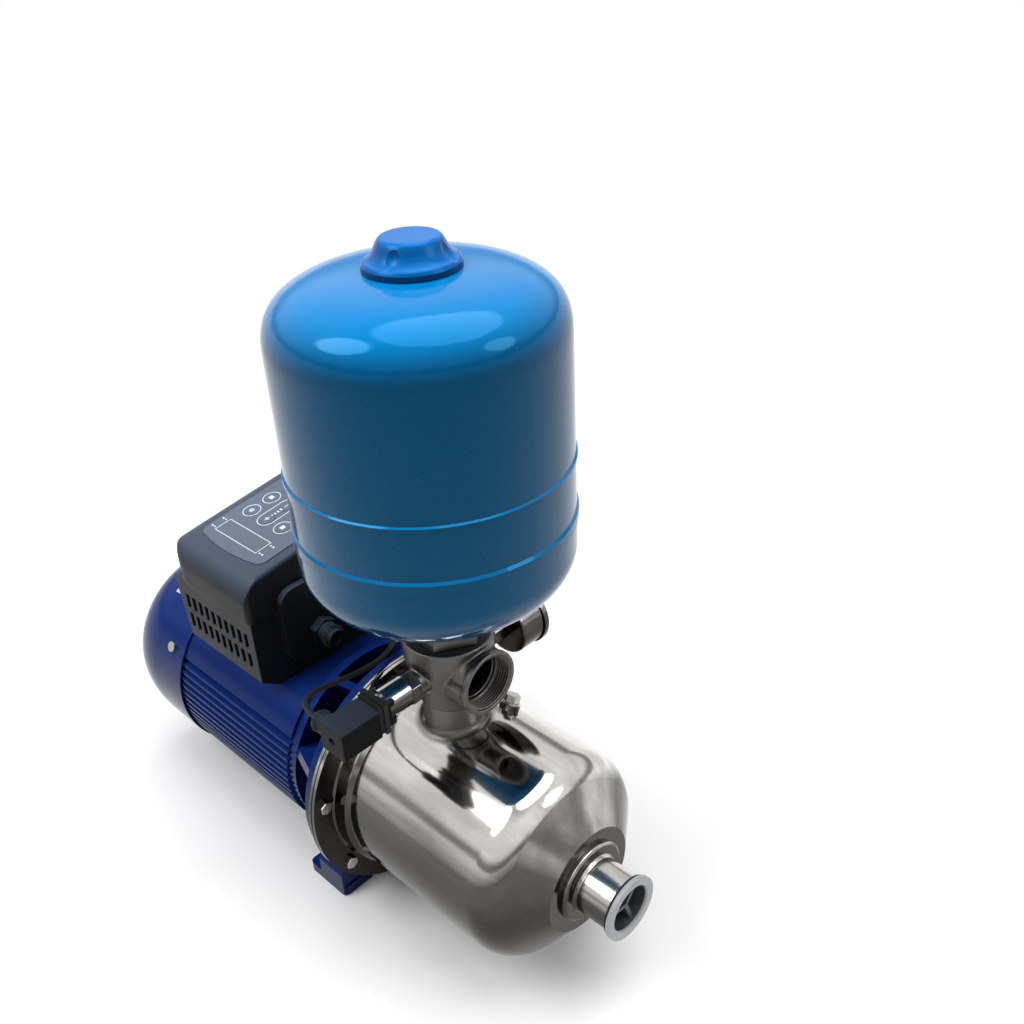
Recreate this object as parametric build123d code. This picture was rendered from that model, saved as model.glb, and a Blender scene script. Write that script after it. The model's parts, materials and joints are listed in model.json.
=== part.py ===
# Booster pump set: a finned motor drives a four-stage stainless pump.
# A five-way fitting on the outlet carries a pressure tank, a pressure transmitter and a gauge.
# A speed controller with a keypad stands on the motor.
# Everything is drawn with the shaft centre at z = 0 and x = 0 at the middle of the foot.
# Saving shifts each piece so that the origin lies on the floor between the two foot holes.
import math
import os

from build123d import *

os.makedirs("parts", exist_ok=True)

# Whole machine
SHAFT_H = 113.0            # shaft centre above the floor
OUTLET_X = 98.0            # outlet and tank axis, ahead of the foot centre
FIT = 0.03                 # radial clearance of a close fit
EASY = 0.3                 # radial clearance of a loose fit

# Motor frame
FRAME_REAR = -190.0
FRAME_FRONT = -22.0
FRAME_R = 91.0             # over the fin tips
FRAME_TUBE_R = 68.0
FRAME_BORE_R = 62.0
PAD_TOP = 74.0             # flat on the crown, where the controller sits
RAIL_Z = 42.5              # underside of the smooth crown
CROWN_WALL = 5.5
CROWN_MID_W = 40.0         # solid middle of the crown, around the wire window
FIN_T = 2.4
FIN_PITCH = 6.8
SIDE_FINS = 14
FOOT_FINS = 13
BOSS_R = 7.0
BOSS_RING_R = FRAME_R - 11.0   # circle of the end screws
BOSS_ANGLES = [45, 135, 225, 315]
WIRE_X = -110.0
WIRE_L = 40.0
WIRE_W = 26.0

# Stator and rotor
CORE_REAR = -137.0
CORE_FRONT = -62.0
STATOR_IN_R = 38.0
SLOT_COUNT = 24
SLOT_IN_R = 41.0
SLOT_OUT_R = 54.0
SLOT_W = 4.0
COIL_GAP = 0.2
END_TURN_L = 20.0
END_TURN_IN_R = 40.2
END_TURN_OUT_R = 58.0
ROTOR_R = 37.6
END_RING_L = 8.0
END_RING_IN_R = 22.0
END_RING_OUT_R = 35.0

# Shaft
SHAFT_R = 12.0
PUMP_SHAFT_R = 8.0
THREAD_R = 6.0
FAN_SHAFT_R = 7.0
SHAFT_REAR = -264.0
SHAFT_FRONT = 208.0

# Bearings: outer radius, bore radius, width
REAR_BRG_X = -207.0
REAR_BRG_R = 17.5
REAR_BRG_BORE_R = 7.5
REAR_BRG_W = 11.0
FRONT_BRG_X = -30.0
FRONT_BRG_R = 23.5
FRONT_BRG_BORE_R = 10.0
FRONT_BRG_W = 14.0
BRG_GROOVE = 0.6
SHOULDER_GAP = 0.2
HUB_WALL = 8.5

# Rear end shield
SHIELD_X = -196.0
SHIELD_R = FRAME_R - 5.0
REGISTER_L = 5.0
REGISTER_IN_R = 56.0
LUG_W = 14.0
LUG_REAR = -213.0
LUG_IN_R = FRAME_R - 13.0
LIP_CLEAR = 1.2

# Fan cover and fan
COVER_R = FRAME_R + 2.0
COVER_T = 1.2
COVER_FRONT = -188.0
COVER_ROUND_X = -234.0     # where the rounding starts
COVER_ROUND_L = 48.0
COVER_FLAT_R = COVER_R - 22.0
COVER_SCREW_X = -206.0
COVER_SCREW_ANGLES = [30, 150, 270]
GRILLE_RADII = [16.0, 28.0, 40.0, 52.0]
GRILLE_W = 7.0
GRILLE_BAR = 9.0
SCREW_R = 2.4
SCREW_HEAD_R = 5.0
SCREW_HEAD_H = 3.0
SCREW_HEX_AF = 8.0
SCREW_L = 12.0
FAN_REAR = -262.0
FAN_FRONT = -238.0
FAN_R = 68.0
FAN_HUB_R = 15.0
FAN_BLADES = 8
FAN_BLADE_T = 2.5

# Bracket between motor and pump
PLATE_T = 8.0
RING_REAR = 24.0
RING_FRONT = 34.0
FLANGE_R = 110.0           # pump flange
RING_OUT_R = FLANGE_R - 4.0
RING_IN_R = 70.0
WEB_COUNT = 8
WEB_T = 7.0
WEB_IN_R = 32.0
WEB_TURN = 22.5
PAD_Y = 49.0
PAD_W = 30.0
PAD_BOTTOM = -84.0
PAD_UP = 26.0
PAD_REAR = -15.0
PAD_FRONT = 23.6
HEAD_ROOM = 24.0           # notch ahead of each end screw

# Foot
FOOT_L = 50.0
FOOT_HALF_W = 84.0
FOOT_TOE_T = 9.5
FOOT_TOE_IN_Y = 50.0
FOOT_LEG_REAR = -8.0
FOOT_LEG_IN_Y = 53.0
BRIDGE_T = 16.0
FOOT_HOLE_R = 5.0
FOOT_HOLE_X = -16.5
FOOT_HOLE_Y = 68.0
FOOT_SCREW_X = [1.0, 15.0]
FOOT_SCREW_Y = 42.0
FOOT_SCREW_R = 3.5
FOOT_SCREW_HEAD_R = 6.0
FOOT_SCREW_HEAD_H = 5.0
FOOT_SCREW_L = 30.0
FOOT_EDGE = 5.0

# Seal cover and shaft seal
COVER_PLATE_X = 34.0
COVER_PLATE_T = 3.0
GASKET_T = 1.0
GASKET_IN_R = FLANGE_R - 23.5
SEAT_R = 20.0
SEAT_WALL = 4.0
SEAL_HUB_REAR = 26.0
SEAL_HUB_FRONT = 44.0
SEAT_REAR = 30.0
SEAT_FRONT = 40.0
SEAT_IN_R = 9.5
SEAL_FACE_R = 16.0
SEAL_FACE_L = 6.0
SEAL_END = 62.0
BELLOWS_R = 17.0
BELLOWS_LOW_R = 14.0
BELLOWS_FOLDS = 3

# Pump casing
CASING_FLANGE_T = 3.0
CASING_R = FLANGE_R - 24.0
CASING_T = 2.0
ROOT_R = CASING_R + 4.5
ROOT_END = 58.0
ROOT_STEP = 1.5
SHOULDER_R = 28.0
SHOULDER_X = 192.0
FRONT_LIP_X = 236.0
FRONT_LIP_R = 44.0
NECK_R = 24.4
NECK_BORE_R = 21.5
NECK_TOP = 122.0
NECK_FILLET = 6.0
BOLT_COUNT = 8
BOLT_FIRST = 11.25         # first bolt above the left-hand level
BOLT_RING_R = FLANGE_R - 10.0
BOLT_R = 3.0
BOLT_HEAD_AF = 10.0
BOLT_HEAD_H = 4.0
BOLT_L = 14.0
BOLT_HOLE_R = 3.3

# Vent and drain plugs
PLUG_BOSS_R = 8.5
PLUG_BOSS_H = 4.5
PLUG_R = 4.8
PLUG_HEAD_AF = 12.0
PLUG_HEAD_H = 6.0
PLUG_WASHER_R = 7.5
PLUG_WASHER_T = 1.5
VENT_X = 118.0
VENT_ANGLE = 62.0          # from the right-hand level, upward
DRAIN_X = 180.0
DRAIN_ANGLE = -90.0

# Inlet
INLET_R = 22.5
INLET_BORE_R = 19.5
INLET_END = 271.0
INLET_START = 226.0
COLLAR_R = 33.0
COLLAR_T = 5.0
INLET_SEAL_T = 2.5
INLET_SEAL_R = 24.6
INLET_RIM_R = 26.0
INLET_RIM_T = 3.5
INLET_PLUG_DEPTH = 16.0
INLET_PLUG_WALL = 3.2
INLET_RIB_T = 3.0
PLUG_PLAY = 0.1

# Stages
STAGE_X = 80.0
STAGE_PITCH = 30.0
STAGE_COUNT = 4
CHAMBER_R = CASING_R - 10.0
CHAMBER_T = 1.5
EYE_R = 24.0
MID_WALL_AT = 11.0
MID_WALL_R = CHAMBER_R - 10.0
MID_WALL_BORE_R = 11.5
GUIDE_IN_R = 30.0
GUIDE_COUNT = 8
IMPELLER_AT = 14.0
IMPELLER_R = CHAMBER_R - 18.0
SHROUD_T = 1.5
VANE_H = 8.0
VANE_T = 1.6
VANE_COUNT = 6
VANE_ARC_R = 45.0
VANE_ARC_OFF = 40.0
VANE_IN_R = 20.0
HUB_R = 11.0
HUB_L = 12.0
NECK_RING_R = 23.2
NECK_RING_IN_R = 21.4
NECK_RING_L = 6.0
WINDOW_COUNT = 6
WINDOW_W = 46.0
WINDOW_REAR = 44.0
WINDOW_FRONT = 74.0
SUCTION_R = 52.0
NUT_AF = 19.0
NUT_H = 8.0
NUT_WASHER_R = 14.0
NUT_WASHER_T = 2.0

# Five-way fitting, heights above the shaft centre
WAY_BOTTOM = 109.0
WAY_TOP = 170.0
WAY_R = 36.0                # at the top, under the tank
WAY_LOW_R = 26.2            # at the foot, round the neck
WAY_WAIST_R = 30.0
PORT_Z = 139.6
PORT_OUT = 44.0
PORT_R = 25.2
PORT_LIP_R = 26.2
PORT_LIP_L = 4.5
PORT_BORE_R = 22.4
PORT_THREAD_L = 16.0
PORT_WAY_R = 18.0          # waterway behind the thread
SIDE_BOSS_R = 11.0
SIDE_BOSS_OUT = 39.0
SIDE_BORE_R = 6.5

# Tank adaptor
ADAPTOR_R = 21.0
ADAPTOR_LOW = 155.0
ADAPTOR_TOP = 192.0
ADAPTOR_AF = 56.0
ADAPTOR_BORE_R = 13.0
STEM_BOTTOM = 176.0
STEM_R = 16.6

# Tank
TANK_R = 100.0
TANK_T = 1.3
TANK_BOTTOM = 197.7
LOW_DOME_H = 51.8
LOW_DOME_POWER = 2.06
JOINT_Z = 277.5
JOINT_W = 7.0
JOINT_STEP = 1.4
BEAD_Z = 318.5
BEAD_W = 4.0
BEAD_STEP = 1.2
WALL_TOP = 400.0
TOP_DOME_H = 50.4
TOP_DOME_POWER = 3.2
VALVE_HOLE_R = 5.0
BAG_T = 2.5
BAG_TOP = 300.0
BAG_LOW = 226.0
BAG_R = 92.0
BAG_CUFF = 14.0
BAG_POWER = 2.0
BAG_DISC_R = 12.0

# Air valve and its cap
VALVE_BASE_R = 10.0
VALVE_BASE_H = 3.0
VALVE_STEM_R = 3.9
VALVE_STEM_H = 12.0
VALVE_TAIL = 5.0
CAP_BASE = 450.5
CAP_R = 32.3
CAP_H = 20.0
CAP_TOP_R = 20.0
CAP_TOP_EDGE = 3.0
CAP_WALL = 4.0
CAP_BAND = 3.5              # upright band round the foot
CAP_TURN = 22.5
CAP_ROOF = 3.0
CAP_SCOOPS = 4
CAP_SCOOP_R = 13.0
CAP_SCOOP_OUT = 34.5
CAP_SCOOP_UP = 17.5

# Pressure transmitter, measured outward along -Y from the outlet axis
SENSOR_HEX_AF = 24.0
SENSOR_HEX_END = 48.0
SENSOR_R = 12.5
SENSOR_END = 70.0
SENSOR_NECK_R = 10.0
SENSOR_TIP = 73.0
SPIGOT_L = 9.0
SEAL_PLATE_W = 27.0
SEAL_PLATE_T = 4.0
SEAL_STEP_W = 24.0
SEAL_STEP_T = 3.5
CONN_W = 26.0
CONN_H = 25.0
CONN_L = 35.0
CONN_DROP = 4.5
CONN_EDGE = 2.0
CONN_SCREW_R = 3.2
CONN_SCREW_DEPTH = 2.0
GLAND_AT = 102.0
GLAND_DROP = 11.6
GLAND_BOSS_R = 9.9
GLAND_COLLAR_R = 9.4
GLAND_COLLAR_L = 7.0
GLAND_NUT_R = 8.8
GLAND_TIP_R = 7.0
GLAND_L = 22.0
CABLE_R = 2.3

# Gauge, measured outward along +Y from the outlet axis
GAUGE_HEX_AF = 17.0
GAUGE_BACK = 57.0
GAUGE_R = 25.0
GAUGE_WALL = 1.4
GAUGE_FRONT = 80.0
DIAL_AT = 76.0
DIAL_T = 0.8
DIAL_HOLE_R = 1.5
POINTER_R = 1.2
POINTER_L = 18.5
POINTER_TAIL = 6.0
POINTER_W = 1.8
POINTER_T = 0.6
POINTER_HUB_R = 2.6
POINTER_GAP = 0.5
POST_R = 5.0
POINTER_REST = -135.0      # degrees from straight up, as the reader sees it
BEZEL_R = 26.6
BEZEL_IN_R = 22.6
BEZEL_FRONT = 86.0
WINDOW_T = 1.6
GLASS_AT = 81.5

# Speed controller
BOX_REAR = -168.0
BOX_REAR_LOW = -158.0
BOX_FRONT = -52.0
BOX_HALF_W = 80.0
BOX_LOW_HALF_W = 64.0
BOX_STEP_Z = 85.0
SEAM_Z = 145.0
BOX_WALL = 4.0
LID_REAR = -172.0
LID_FRONT = -50.0
LID_HALF_W = 82.0
LID_TOP = 195.5             # at the middle
LID_TILT = 8.5              # degrees, the top rising toward the gauge side
LID_WALL = 3.0
LID_SIDE_ROUND = 24.0
LID_REAR_ROUND = 24.0
LID_FRONT_ROUND = 5.0
LID_CORNER = 30.0
LID_FRONT_CORNER = 5.0
VENT_COUNT = 10
VENT_FIRST_X = -152.0
VENT_PITCH = 9.8
VENT_W = 5.0
VENT_H = 15.0
VENT_ROWS = [103.0, 123.0]
TONGUE_FRONT = -44.0
TONGUE_HALF_W = 54.0
TONGUE_LOW = 92.0
TONGUE_TOP = 164.0
TONGUE_ROUND = 14.0
MAINS_Y = -20.0
SIGNAL_Y = 20.0
ENTRY_Z = 112.0
ENTRY_R = 10.0
ENTRY_TIP_R = 7.5
ENTRY_HEX_AF = 22.0
ENTRY_HEX_L = 8.0
ENTRY_L = 22.0
ENTRY_SHANK_R = 7.5
MAINS_BORE_R = 5.0
BASE_SCREW_X = [-146.0, -74.0]
BASE_SCREW_Y = 40.0

# Inside the controller
SINK_REAR = -139.0
SINK_FRONT = -81.0
SINK_HALF_W = 60.0
SINK_FIN_IN_Y = 32.0
SINK_T = 6.0
SINK_FIN_COUNT = 9
SINK_FIN_T = 2.0
SINK_FIN_H = 18.0
BOARD_T = 1.6
POWER_BOARD_HALF_W = 62.0
POWER_BOARD_EDGE = 8.0     # past the heat sink at both ends
CAN_R = 11.0
CAN_H = 30.0
CAN_X = -98.0
CAN_PITCH = 26.0
CHOKE_X = -128.0
CHOKE_R = 13.0
CHOKE_HOLE_R = 5.0
CHOKE_PITCH = 34.0
CHOKE_H = 14.0
DISPLAY_BOARD_HALF_W = 53.0
DISPLAY_BOARD_HALF_L = 39.0
LID_POST_R = 3.0
LID_POST_Y = 48.0
LID_POST_X = 34.5          # either side of the keypad's middle
DISPLAY_BOARD_DEPTH = 13.0  # below the lid's top

# Keypad
KEYPAD_X = -103.5
KEYPAD_HALF_L = 43.5
KEYPAD_LEFT = -56.5        # where the bowed edge leaves the corners
KEYPAD_BOW = 5.5
KEYPAD_RIGHT = 38.0
KEYPAD_T = 0.8
KEYPAD_CORNER = 8.0
KEY_R = 7.0
KEY_GAP = 0.25
KEY_PROUD = 0.3
KEY_T = 1.6
KEY_POCKET = 1.2
KEY_COLUMN = 22.5
KEY_ROW_1 = -15.0
KEY_ROW_2 = 6.5
KEY_MID_X = -107.5


def save(shape, name):
    """Shift a finished piece into the part's own frame and write it."""
    export_step(Pos(-FOOT_HOLE_X, 0, SHAFT_H) * shape, f"parts/{name}.step")


def spun(points):
    """Solid turned about the shaft; each point is (x, radius)."""
    outline = Polyline([(x, 0, r) for x, r in points], close=True)
    return revolve(make_face(outline), Axis.X)


def ring(x0, x1, outer, inner):
    """Plain ring about the shaft."""
    return spun([(x0, inner), (x0, outer), (x1, outer), (x1, inner)])


def stood(points):
    """Solid turned about the tank axis; each point is (radius, z)."""
    outline = Polyline([(OUTLET_X + r, 0, z) for r, z in points], close=True)
    return revolve(make_face(outline), Axis((OUTLET_X, 0, 0), (0, 0, 1)))


def tube_up(z0, z1, outer, inner):
    """Plain ring about the tank axis."""
    return stood([(inner, z0), (outer, z0), (outer, z1), (inner, z1)])


def rod(start, direction, radius, length):
    """Round bar from a start point along a direction."""
    base = Cylinder(radius, length, align=(Align.CENTER, Align.CENTER, Align.MIN))
    return Plane(origin=start, z_dir=direction) * base


def hexagon(start, direction, across_flats, length):
    """Hexagonal bar from a start point along a direction."""
    sketch = RegularPolygon(across_flats / 2, 6, major_radius=False)
    return extrude(Plane(origin=start, z_dir=direction) * sketch, length)


def block(x0, x1, y0, y1, z0, z1):
    """Box between two corners."""
    middle = Pos((x0 + x1) / 2, (y0 + y1) / 2, (z0 + z1) / 2)
    return middle * Box(x1 - x0, y1 - y0, z1 - z0)


def around(angle, radius):
    """Y and z of a point on a circle about the shaft."""
    turn = math.radians(angle)
    return radius * math.cos(turn), radius * math.sin(turn)


def group(pieces):
    """Several separate solids kept in one file."""
    return Compound([solid for piece in pieces for solid in piece.solids()])


def outward(angle, x, radius):
    """Start point and direction of something that points away from the shaft."""
    y, z = around(angle, radius)
    return (x, y, z), (0, *around(angle, 1))


# Motor
def motor_frame():
    hull = Circle(FRAME_R)
    crown_h = PAD_TOP - RAIL_Z
    crown = hull & Pos(0, RAIL_Z + crown_h / 2) * Rectangle(2 * FRAME_R, crown_h)
    hollow_h = crown_h - 2 * CROWN_WALL
    level = RAIL_Z + CROWN_WALL + hollow_h / 2
    hollow = Circle(FRAME_R - CROWN_WALL) & Pos(0, level) * Rectangle(2 * FRAME_R, hollow_h)
    hollow -= Pos(0, level) * Rectangle(CROWN_MID_W, hollow_h)
    section = (crown - hollow) + Circle(FRAME_TUBE_R)
    for i in range(SIDE_FINS):
        level = RAIL_Z - (i + 1) * FIN_PITCH
        section += hull & Pos(0, level) * Rectangle(2 * FRAME_R, FIN_T)
    for i in range(FOOT_FINS):
        across = (i - (FOOT_FINS - 1) / 2) * FIN_PITCH
        section += hull & Pos(across, -FRAME_R / 2) * Rectangle(FIN_T, FRAME_R)
    for angle in BOSS_ANGLES:
        section += Pos(*around(angle, BOSS_RING_R)) * Circle(BOSS_R)
    section -= Circle(FRAME_BORE_R)
    section = section & Pos(0, PAD_TOP - FRAME_R) * Rectangle(2 * FRAME_R, 2 * FRAME_R)
    frame = extrude(Plane.YZ.offset(FRAME_REAR) * section, FRAME_FRONT - FRAME_REAR)
    for angle in BOSS_ANGLES:
        y, z = around(angle, BOSS_RING_R)
        frame -= rod((FRAME_REAR, y, z), (1, 0, 0), SCREW_R + FIT, SCREW_L)
        frame -= rod((FRAME_FRONT, y, z), (-1, 0, 0), SCREW_R + FIT, SCREW_L)
    frame -= wire_window(0, FRAME_R)
    for x in BASE_SCREW_X:
        for y in (-BASE_SCREW_Y, BASE_SCREW_Y):
            frame -= rod((x, y, PAD_TOP), (0, 0, -1), SCREW_R + FIT, SCREW_L)
    return frame


def slot_bars(width, inner, outer, x0, x1):
    bar = block(x0, x1, -width / 2, width / 2, inner, outer)
    step = 360 / SLOT_COUNT
    return [Rot(i * step + step / 2, 0, 0) * bar for i in range(SLOT_COUNT)]


def stator_core():
    core = ring(CORE_REAR, CORE_FRONT, FRAME_BORE_R - FIT, STATOR_IN_R)
    for bar in slot_bars(SLOT_W, SLOT_IN_R, SLOT_OUT_R, CORE_REAR, CORE_FRONT):
        core -= bar
    return core


def stator_windings():
    rear = CORE_REAR - END_TURN_L
    front = CORE_FRONT + END_TURN_L
    coil = ring(rear, CORE_REAR, END_TURN_OUT_R, END_TURN_IN_R)
    coil += ring(CORE_FRONT, front, END_TURN_OUT_R, END_TURN_IN_R)
    width = SLOT_W - 2 * COIL_GAP
    for bar in slot_bars(width, SLOT_IN_R + COIL_GAP, SLOT_OUT_R - COIL_GAP, CORE_REAR, CORE_FRONT):
        coil += bar
    return coil


def rotor_core():
    core = ring(CORE_REAR, CORE_FRONT, ROTOR_R, SHAFT_R + FIT)
    core += ring(CORE_REAR - END_RING_L, CORE_REAR, END_RING_OUT_R, END_RING_IN_R)
    core += ring(CORE_FRONT, CORE_FRONT + END_RING_L, END_RING_OUT_R, END_RING_IN_R)
    return core


def impeller_hub_end():
    last = STAGE_X + (STAGE_COUNT - 1) * STAGE_PITCH
    return last + IMPELLER_AT + HUB_L


def shaft():
    rear_seat = REAR_BRG_X + REAR_BRG_W + SHOULDER_GAP
    front_seat = FRONT_BRG_X - SHOULDER_GAP
    front_end = FRONT_BRG_X + FRONT_BRG_W + 2
    thread = impeller_hub_end() - SHOULDER_GAP
    return spun([
        (SHAFT_REAR, 0), (SHAFT_REAR, FAN_SHAFT_R),
        (REAR_BRG_X - 2, FAN_SHAFT_R), (REAR_BRG_X - 2, REAR_BRG_BORE_R),
        (rear_seat, REAR_BRG_BORE_R), (rear_seat, SHAFT_R),
        (front_seat, SHAFT_R), (front_seat, FRONT_BRG_BORE_R),
        (front_end, FRONT_BRG_BORE_R), (front_end, PUMP_SHAFT_R),
        (thread, PUMP_SHAFT_R), (thread, THREAD_R),
        (SHAFT_FRONT, THREAD_R), (SHAFT_FRONT, 0),
    ])


def bearing(x, outer, bore, width):
    """Sealed ball bearing, drawn closed, with the shield sunk between the two rings."""
    wall = (outer - bore) / 4
    end = x + width
    return spun([
        (x, bore + FIT), (x, bore + wall), (x + BRG_GROOVE, bore + wall),
        (x + BRG_GROOVE, outer - wall), (x, outer - wall), (x, outer),
        (end, outer), (end, outer - wall), (end - BRG_GROOVE, outer - wall),
        (end - BRG_GROOVE, bore + wall), (end, bore + wall), (end, bore + FIT),
    ])


def shaft_bearings():
    rear = bearing(REAR_BRG_X, REAR_BRG_R, REAR_BRG_BORE_R, REAR_BRG_W)
    front = bearing(FRONT_BRG_X, FRONT_BRG_R, FRONT_BRG_BORE_R, FRONT_BRG_W)
    return group([rear, front])


def rear_end_shield():
    seat = REAR_BRG_R + FIT
    hub = REAR_BRG_R + HUB_WALL
    lip = SHAFT_R + LIP_CLEAR
    register = FRAME_REAR + REGISTER_L
    shield = spun([
        (REAR_BRG_X, seat), (REAR_BRG_X, hub), (SHIELD_X, hub), (SHIELD_X, SHIELD_R),
        (FRAME_REAR, SHIELD_R), (FRAME_REAR, FRAME_BORE_R - FIT),
        (register, FRAME_BORE_R - FIT), (register, REGISTER_IN_R),
        (FRAME_REAR, REGISTER_IN_R), (FRAME_REAR, lip), (SHIELD_X, lip), (SHIELD_X, seat),
    ])
    inside = ring(LUG_REAR, SHIELD_X + 1, COVER_R - COVER_T - FIT, LUG_IN_R)
    for angle in COVER_SCREW_ANGLES:
        lug = block(LUG_REAR, SHIELD_X + 1, LUG_IN_R - 1, COVER_R, -LUG_W / 2, LUG_W / 2)
        shield += Rot(angle, 0, 0) * lug & inside
        start, direction = outward(angle, COVER_SCREW_X, COVER_R)
        back = tuple(-d for d in direction)
        shield -= rod(start, back, SCREW_R + FIT, SCREW_L)
    for angle in BOSS_ANGLES:
        y, z = around(angle, BOSS_RING_R)
        shield -= rod((SHIELD_X, y, z), (1, 0, 0), SCREW_R + FIT, SCREW_L)
    return shield


def fan_cover():
    depth = COVER_R - COVER_FLAT_R
    rear = COVER_ROUND_X - COVER_ROUND_L
    skin = rear + COVER_T
    centre = (COVER_ROUND_X, COVER_FLAT_R)
    outer = EllipticalCenterArc(centre, COVER_ROUND_L, depth, 90, arc_size=90)
    inner = EllipticalCenterArc(centre, COVER_ROUND_L - COVER_T, depth - COVER_T, 90, arc_size=90)
    edges = [
        Line((COVER_FRONT, COVER_R), (COVER_ROUND_X, COVER_R)),
        outer,
        Line((rear, COVER_FLAT_R), (rear, 0)),
        Line((rear, 0), (skin, 0)),
        Line((skin, 0), (skin, COVER_FLAT_R)),
        inner,
        Line((COVER_ROUND_X, COVER_R - COVER_T), (COVER_FRONT, COVER_R - COVER_T)),
        Line((COVER_FRONT, COVER_R - COVER_T), (COVER_FRONT, COVER_R)),
    ]
    cover = revolve(make_face(edges), Axis.X)
    for radius in GRILLE_RADII:
        slots = ring(rear - 1, skin + 1, radius + GRILLE_W, radius)
        for turn in (45, 135):
            bar = block(rear - 1, skin + 1, -COVER_R, COVER_R, -GRILLE_BAR / 2, GRILLE_BAR / 2)
            slots -= Rot(turn, 0, 0) * bar
        cover -= slots
    for angle in COVER_SCREW_ANGLES:
        start, direction = outward(angle, COVER_SCREW_X, FRAME_TUBE_R)
        cover -= rod(start, direction, SCREW_R + FIT, COVER_R)
    return cover


def fan_cover_screws():
    screws = []
    for angle in COVER_SCREW_ANGLES:
        start, direction = outward(angle, COVER_SCREW_X, COVER_R)
        back = tuple(-d for d in direction)
        head = rod(start, direction, SCREW_HEAD_R, SCREW_HEAD_H)
        screws.append(head + rod(start, back, SCREW_R, SCREW_L - 1))
    return group(screws)


def cooling_fan():
    fan = ring(FAN_REAR, FAN_FRONT, FAN_HUB_R, FAN_SHAFT_R + FIT)
    fan += ring(FAN_FRONT - 2, FAN_FRONT, FAN_R - 20, FAN_HUB_R - 1)
    blade = block(FAN_REAR, FAN_FRONT, -FAN_BLADE_T / 2, FAN_BLADE_T / 2, FAN_HUB_R - 1, FAN_R)
    for i in range(FAN_BLADES):
        fan += Rot(i * 360 / FAN_BLADES, 0, 0) * blade
    return fan


# Bracket and foot
def motor_bracket():
    plate_front = FRAME_FRONT + PLATE_T
    seat = FRONT_BRG_R + FIT
    hub = FRONT_BRG_R + HUB_WALL
    lip_x = FRONT_BRG_X + FRONT_BRG_W
    register = FRAME_FRONT - REGISTER_L
    bracket = spun([
        (FRONT_BRG_X, seat), (FRONT_BRG_X, hub), (FRAME_FRONT, hub), (FRAME_FRONT, REGISTER_IN_R),
        (register, REGISTER_IN_R), (register, FRAME_BORE_R - FIT),
        (FRAME_FRONT, FRAME_BORE_R - FIT), (FRAME_FRONT, FRAME_R - 3),
        (plate_front, FRAME_R - 3), (plate_front, SHAFT_R + LIP_CLEAR),
        (lip_x, SHAFT_R + LIP_CLEAR), (lip_x, seat),
    ])
    bracket += ring(RING_REAR, RING_FRONT, RING_OUT_R, RING_IN_R)
    for i in range(WEB_COUNT):
        web = extrude(Plane.XZ.offset(-WEB_T / 2) * make_face(Polyline([
            (plate_front - 1, WEB_IN_R), (plate_front - 1, FRAME_R - 3),
            (RING_REAR + 1, RING_OUT_R - 2), (RING_REAR + 1, RING_IN_R + 2),
            (plate_front + 6, WEB_IN_R),
        ], close=True)), WEB_T)
        bracket += Rot(WEB_TURN + i * 360 / WEB_COUNT, 0, 0) * web
    for side in (-1, 1):
        y0, y1 = sorted((side * (PAD_Y - PAD_W / 2), side * (PAD_Y + PAD_W / 2)))
        pad = block(PAD_REAR, PAD_FRONT, y0, y1, PAD_BOTTOM, PAD_BOTTOM + PAD_UP)
        bracket += pad + block(PAD_FRONT - 2, RING_FRONT, y0, y1, PAD_BOTTOM + 8, PAD_BOTTOM + PAD_UP)
        for x in FOOT_SCREW_X:
            bracket -= rod((x, side * FOOT_SCREW_Y, PAD_BOTTOM), (0, 0, 1), FOOT_SCREW_R + FIT, PAD_UP - 6)
    bracket -= block(plate_front, PAD_FRONT, -FRAME_R, FRAME_R, -SHAFT_H, PAD_BOTTOM)
    for angle in BOSS_ANGLES:
        y, z = around(angle, BOSS_RING_R)
        bracket -= rod((FRAME_FRONT, y, z), (1, 0, 0), SCREW_R + FIT, PLATE_T)
        bracket -= rod((plate_front, y, z), (1, 0, 0), SCREW_HEAD_R + 1, HEAD_ROOM)
    for y, z in bolt_points():
        bracket -= rod((RING_FRONT, y, z), (-1, 0, 0), BOLT_R + FIT, RING_FRONT - RING_REAR)
    return bracket


def motor_screws():
    """Eight screws through the two motor ends and four that hold the controller down."""
    seats = []
    for angle in BOSS_ANGLES:
        y, z = around(angle, BOSS_RING_R)
        seats.append(((SHIELD_X, y, z), (-1, 0, 0)))
        seats.append(((FRAME_FRONT + PLATE_T, y, z), (1, 0, 0)))
    for x in BASE_SCREW_X:
        for y in (-BASE_SCREW_Y, BASE_SCREW_Y):
            seats.append(((x, y, PAD_TOP + BOX_WALL), (0, 0, 1)))
    screws = []
    for seat, way in seats:
        back = tuple(-d for d in way)
        screws.append(hexagon(seat, way, SCREW_HEX_AF, SCREW_HEAD_H) + rod(seat, back, SCREW_R, SCREW_L))
    return group(screws)


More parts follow.
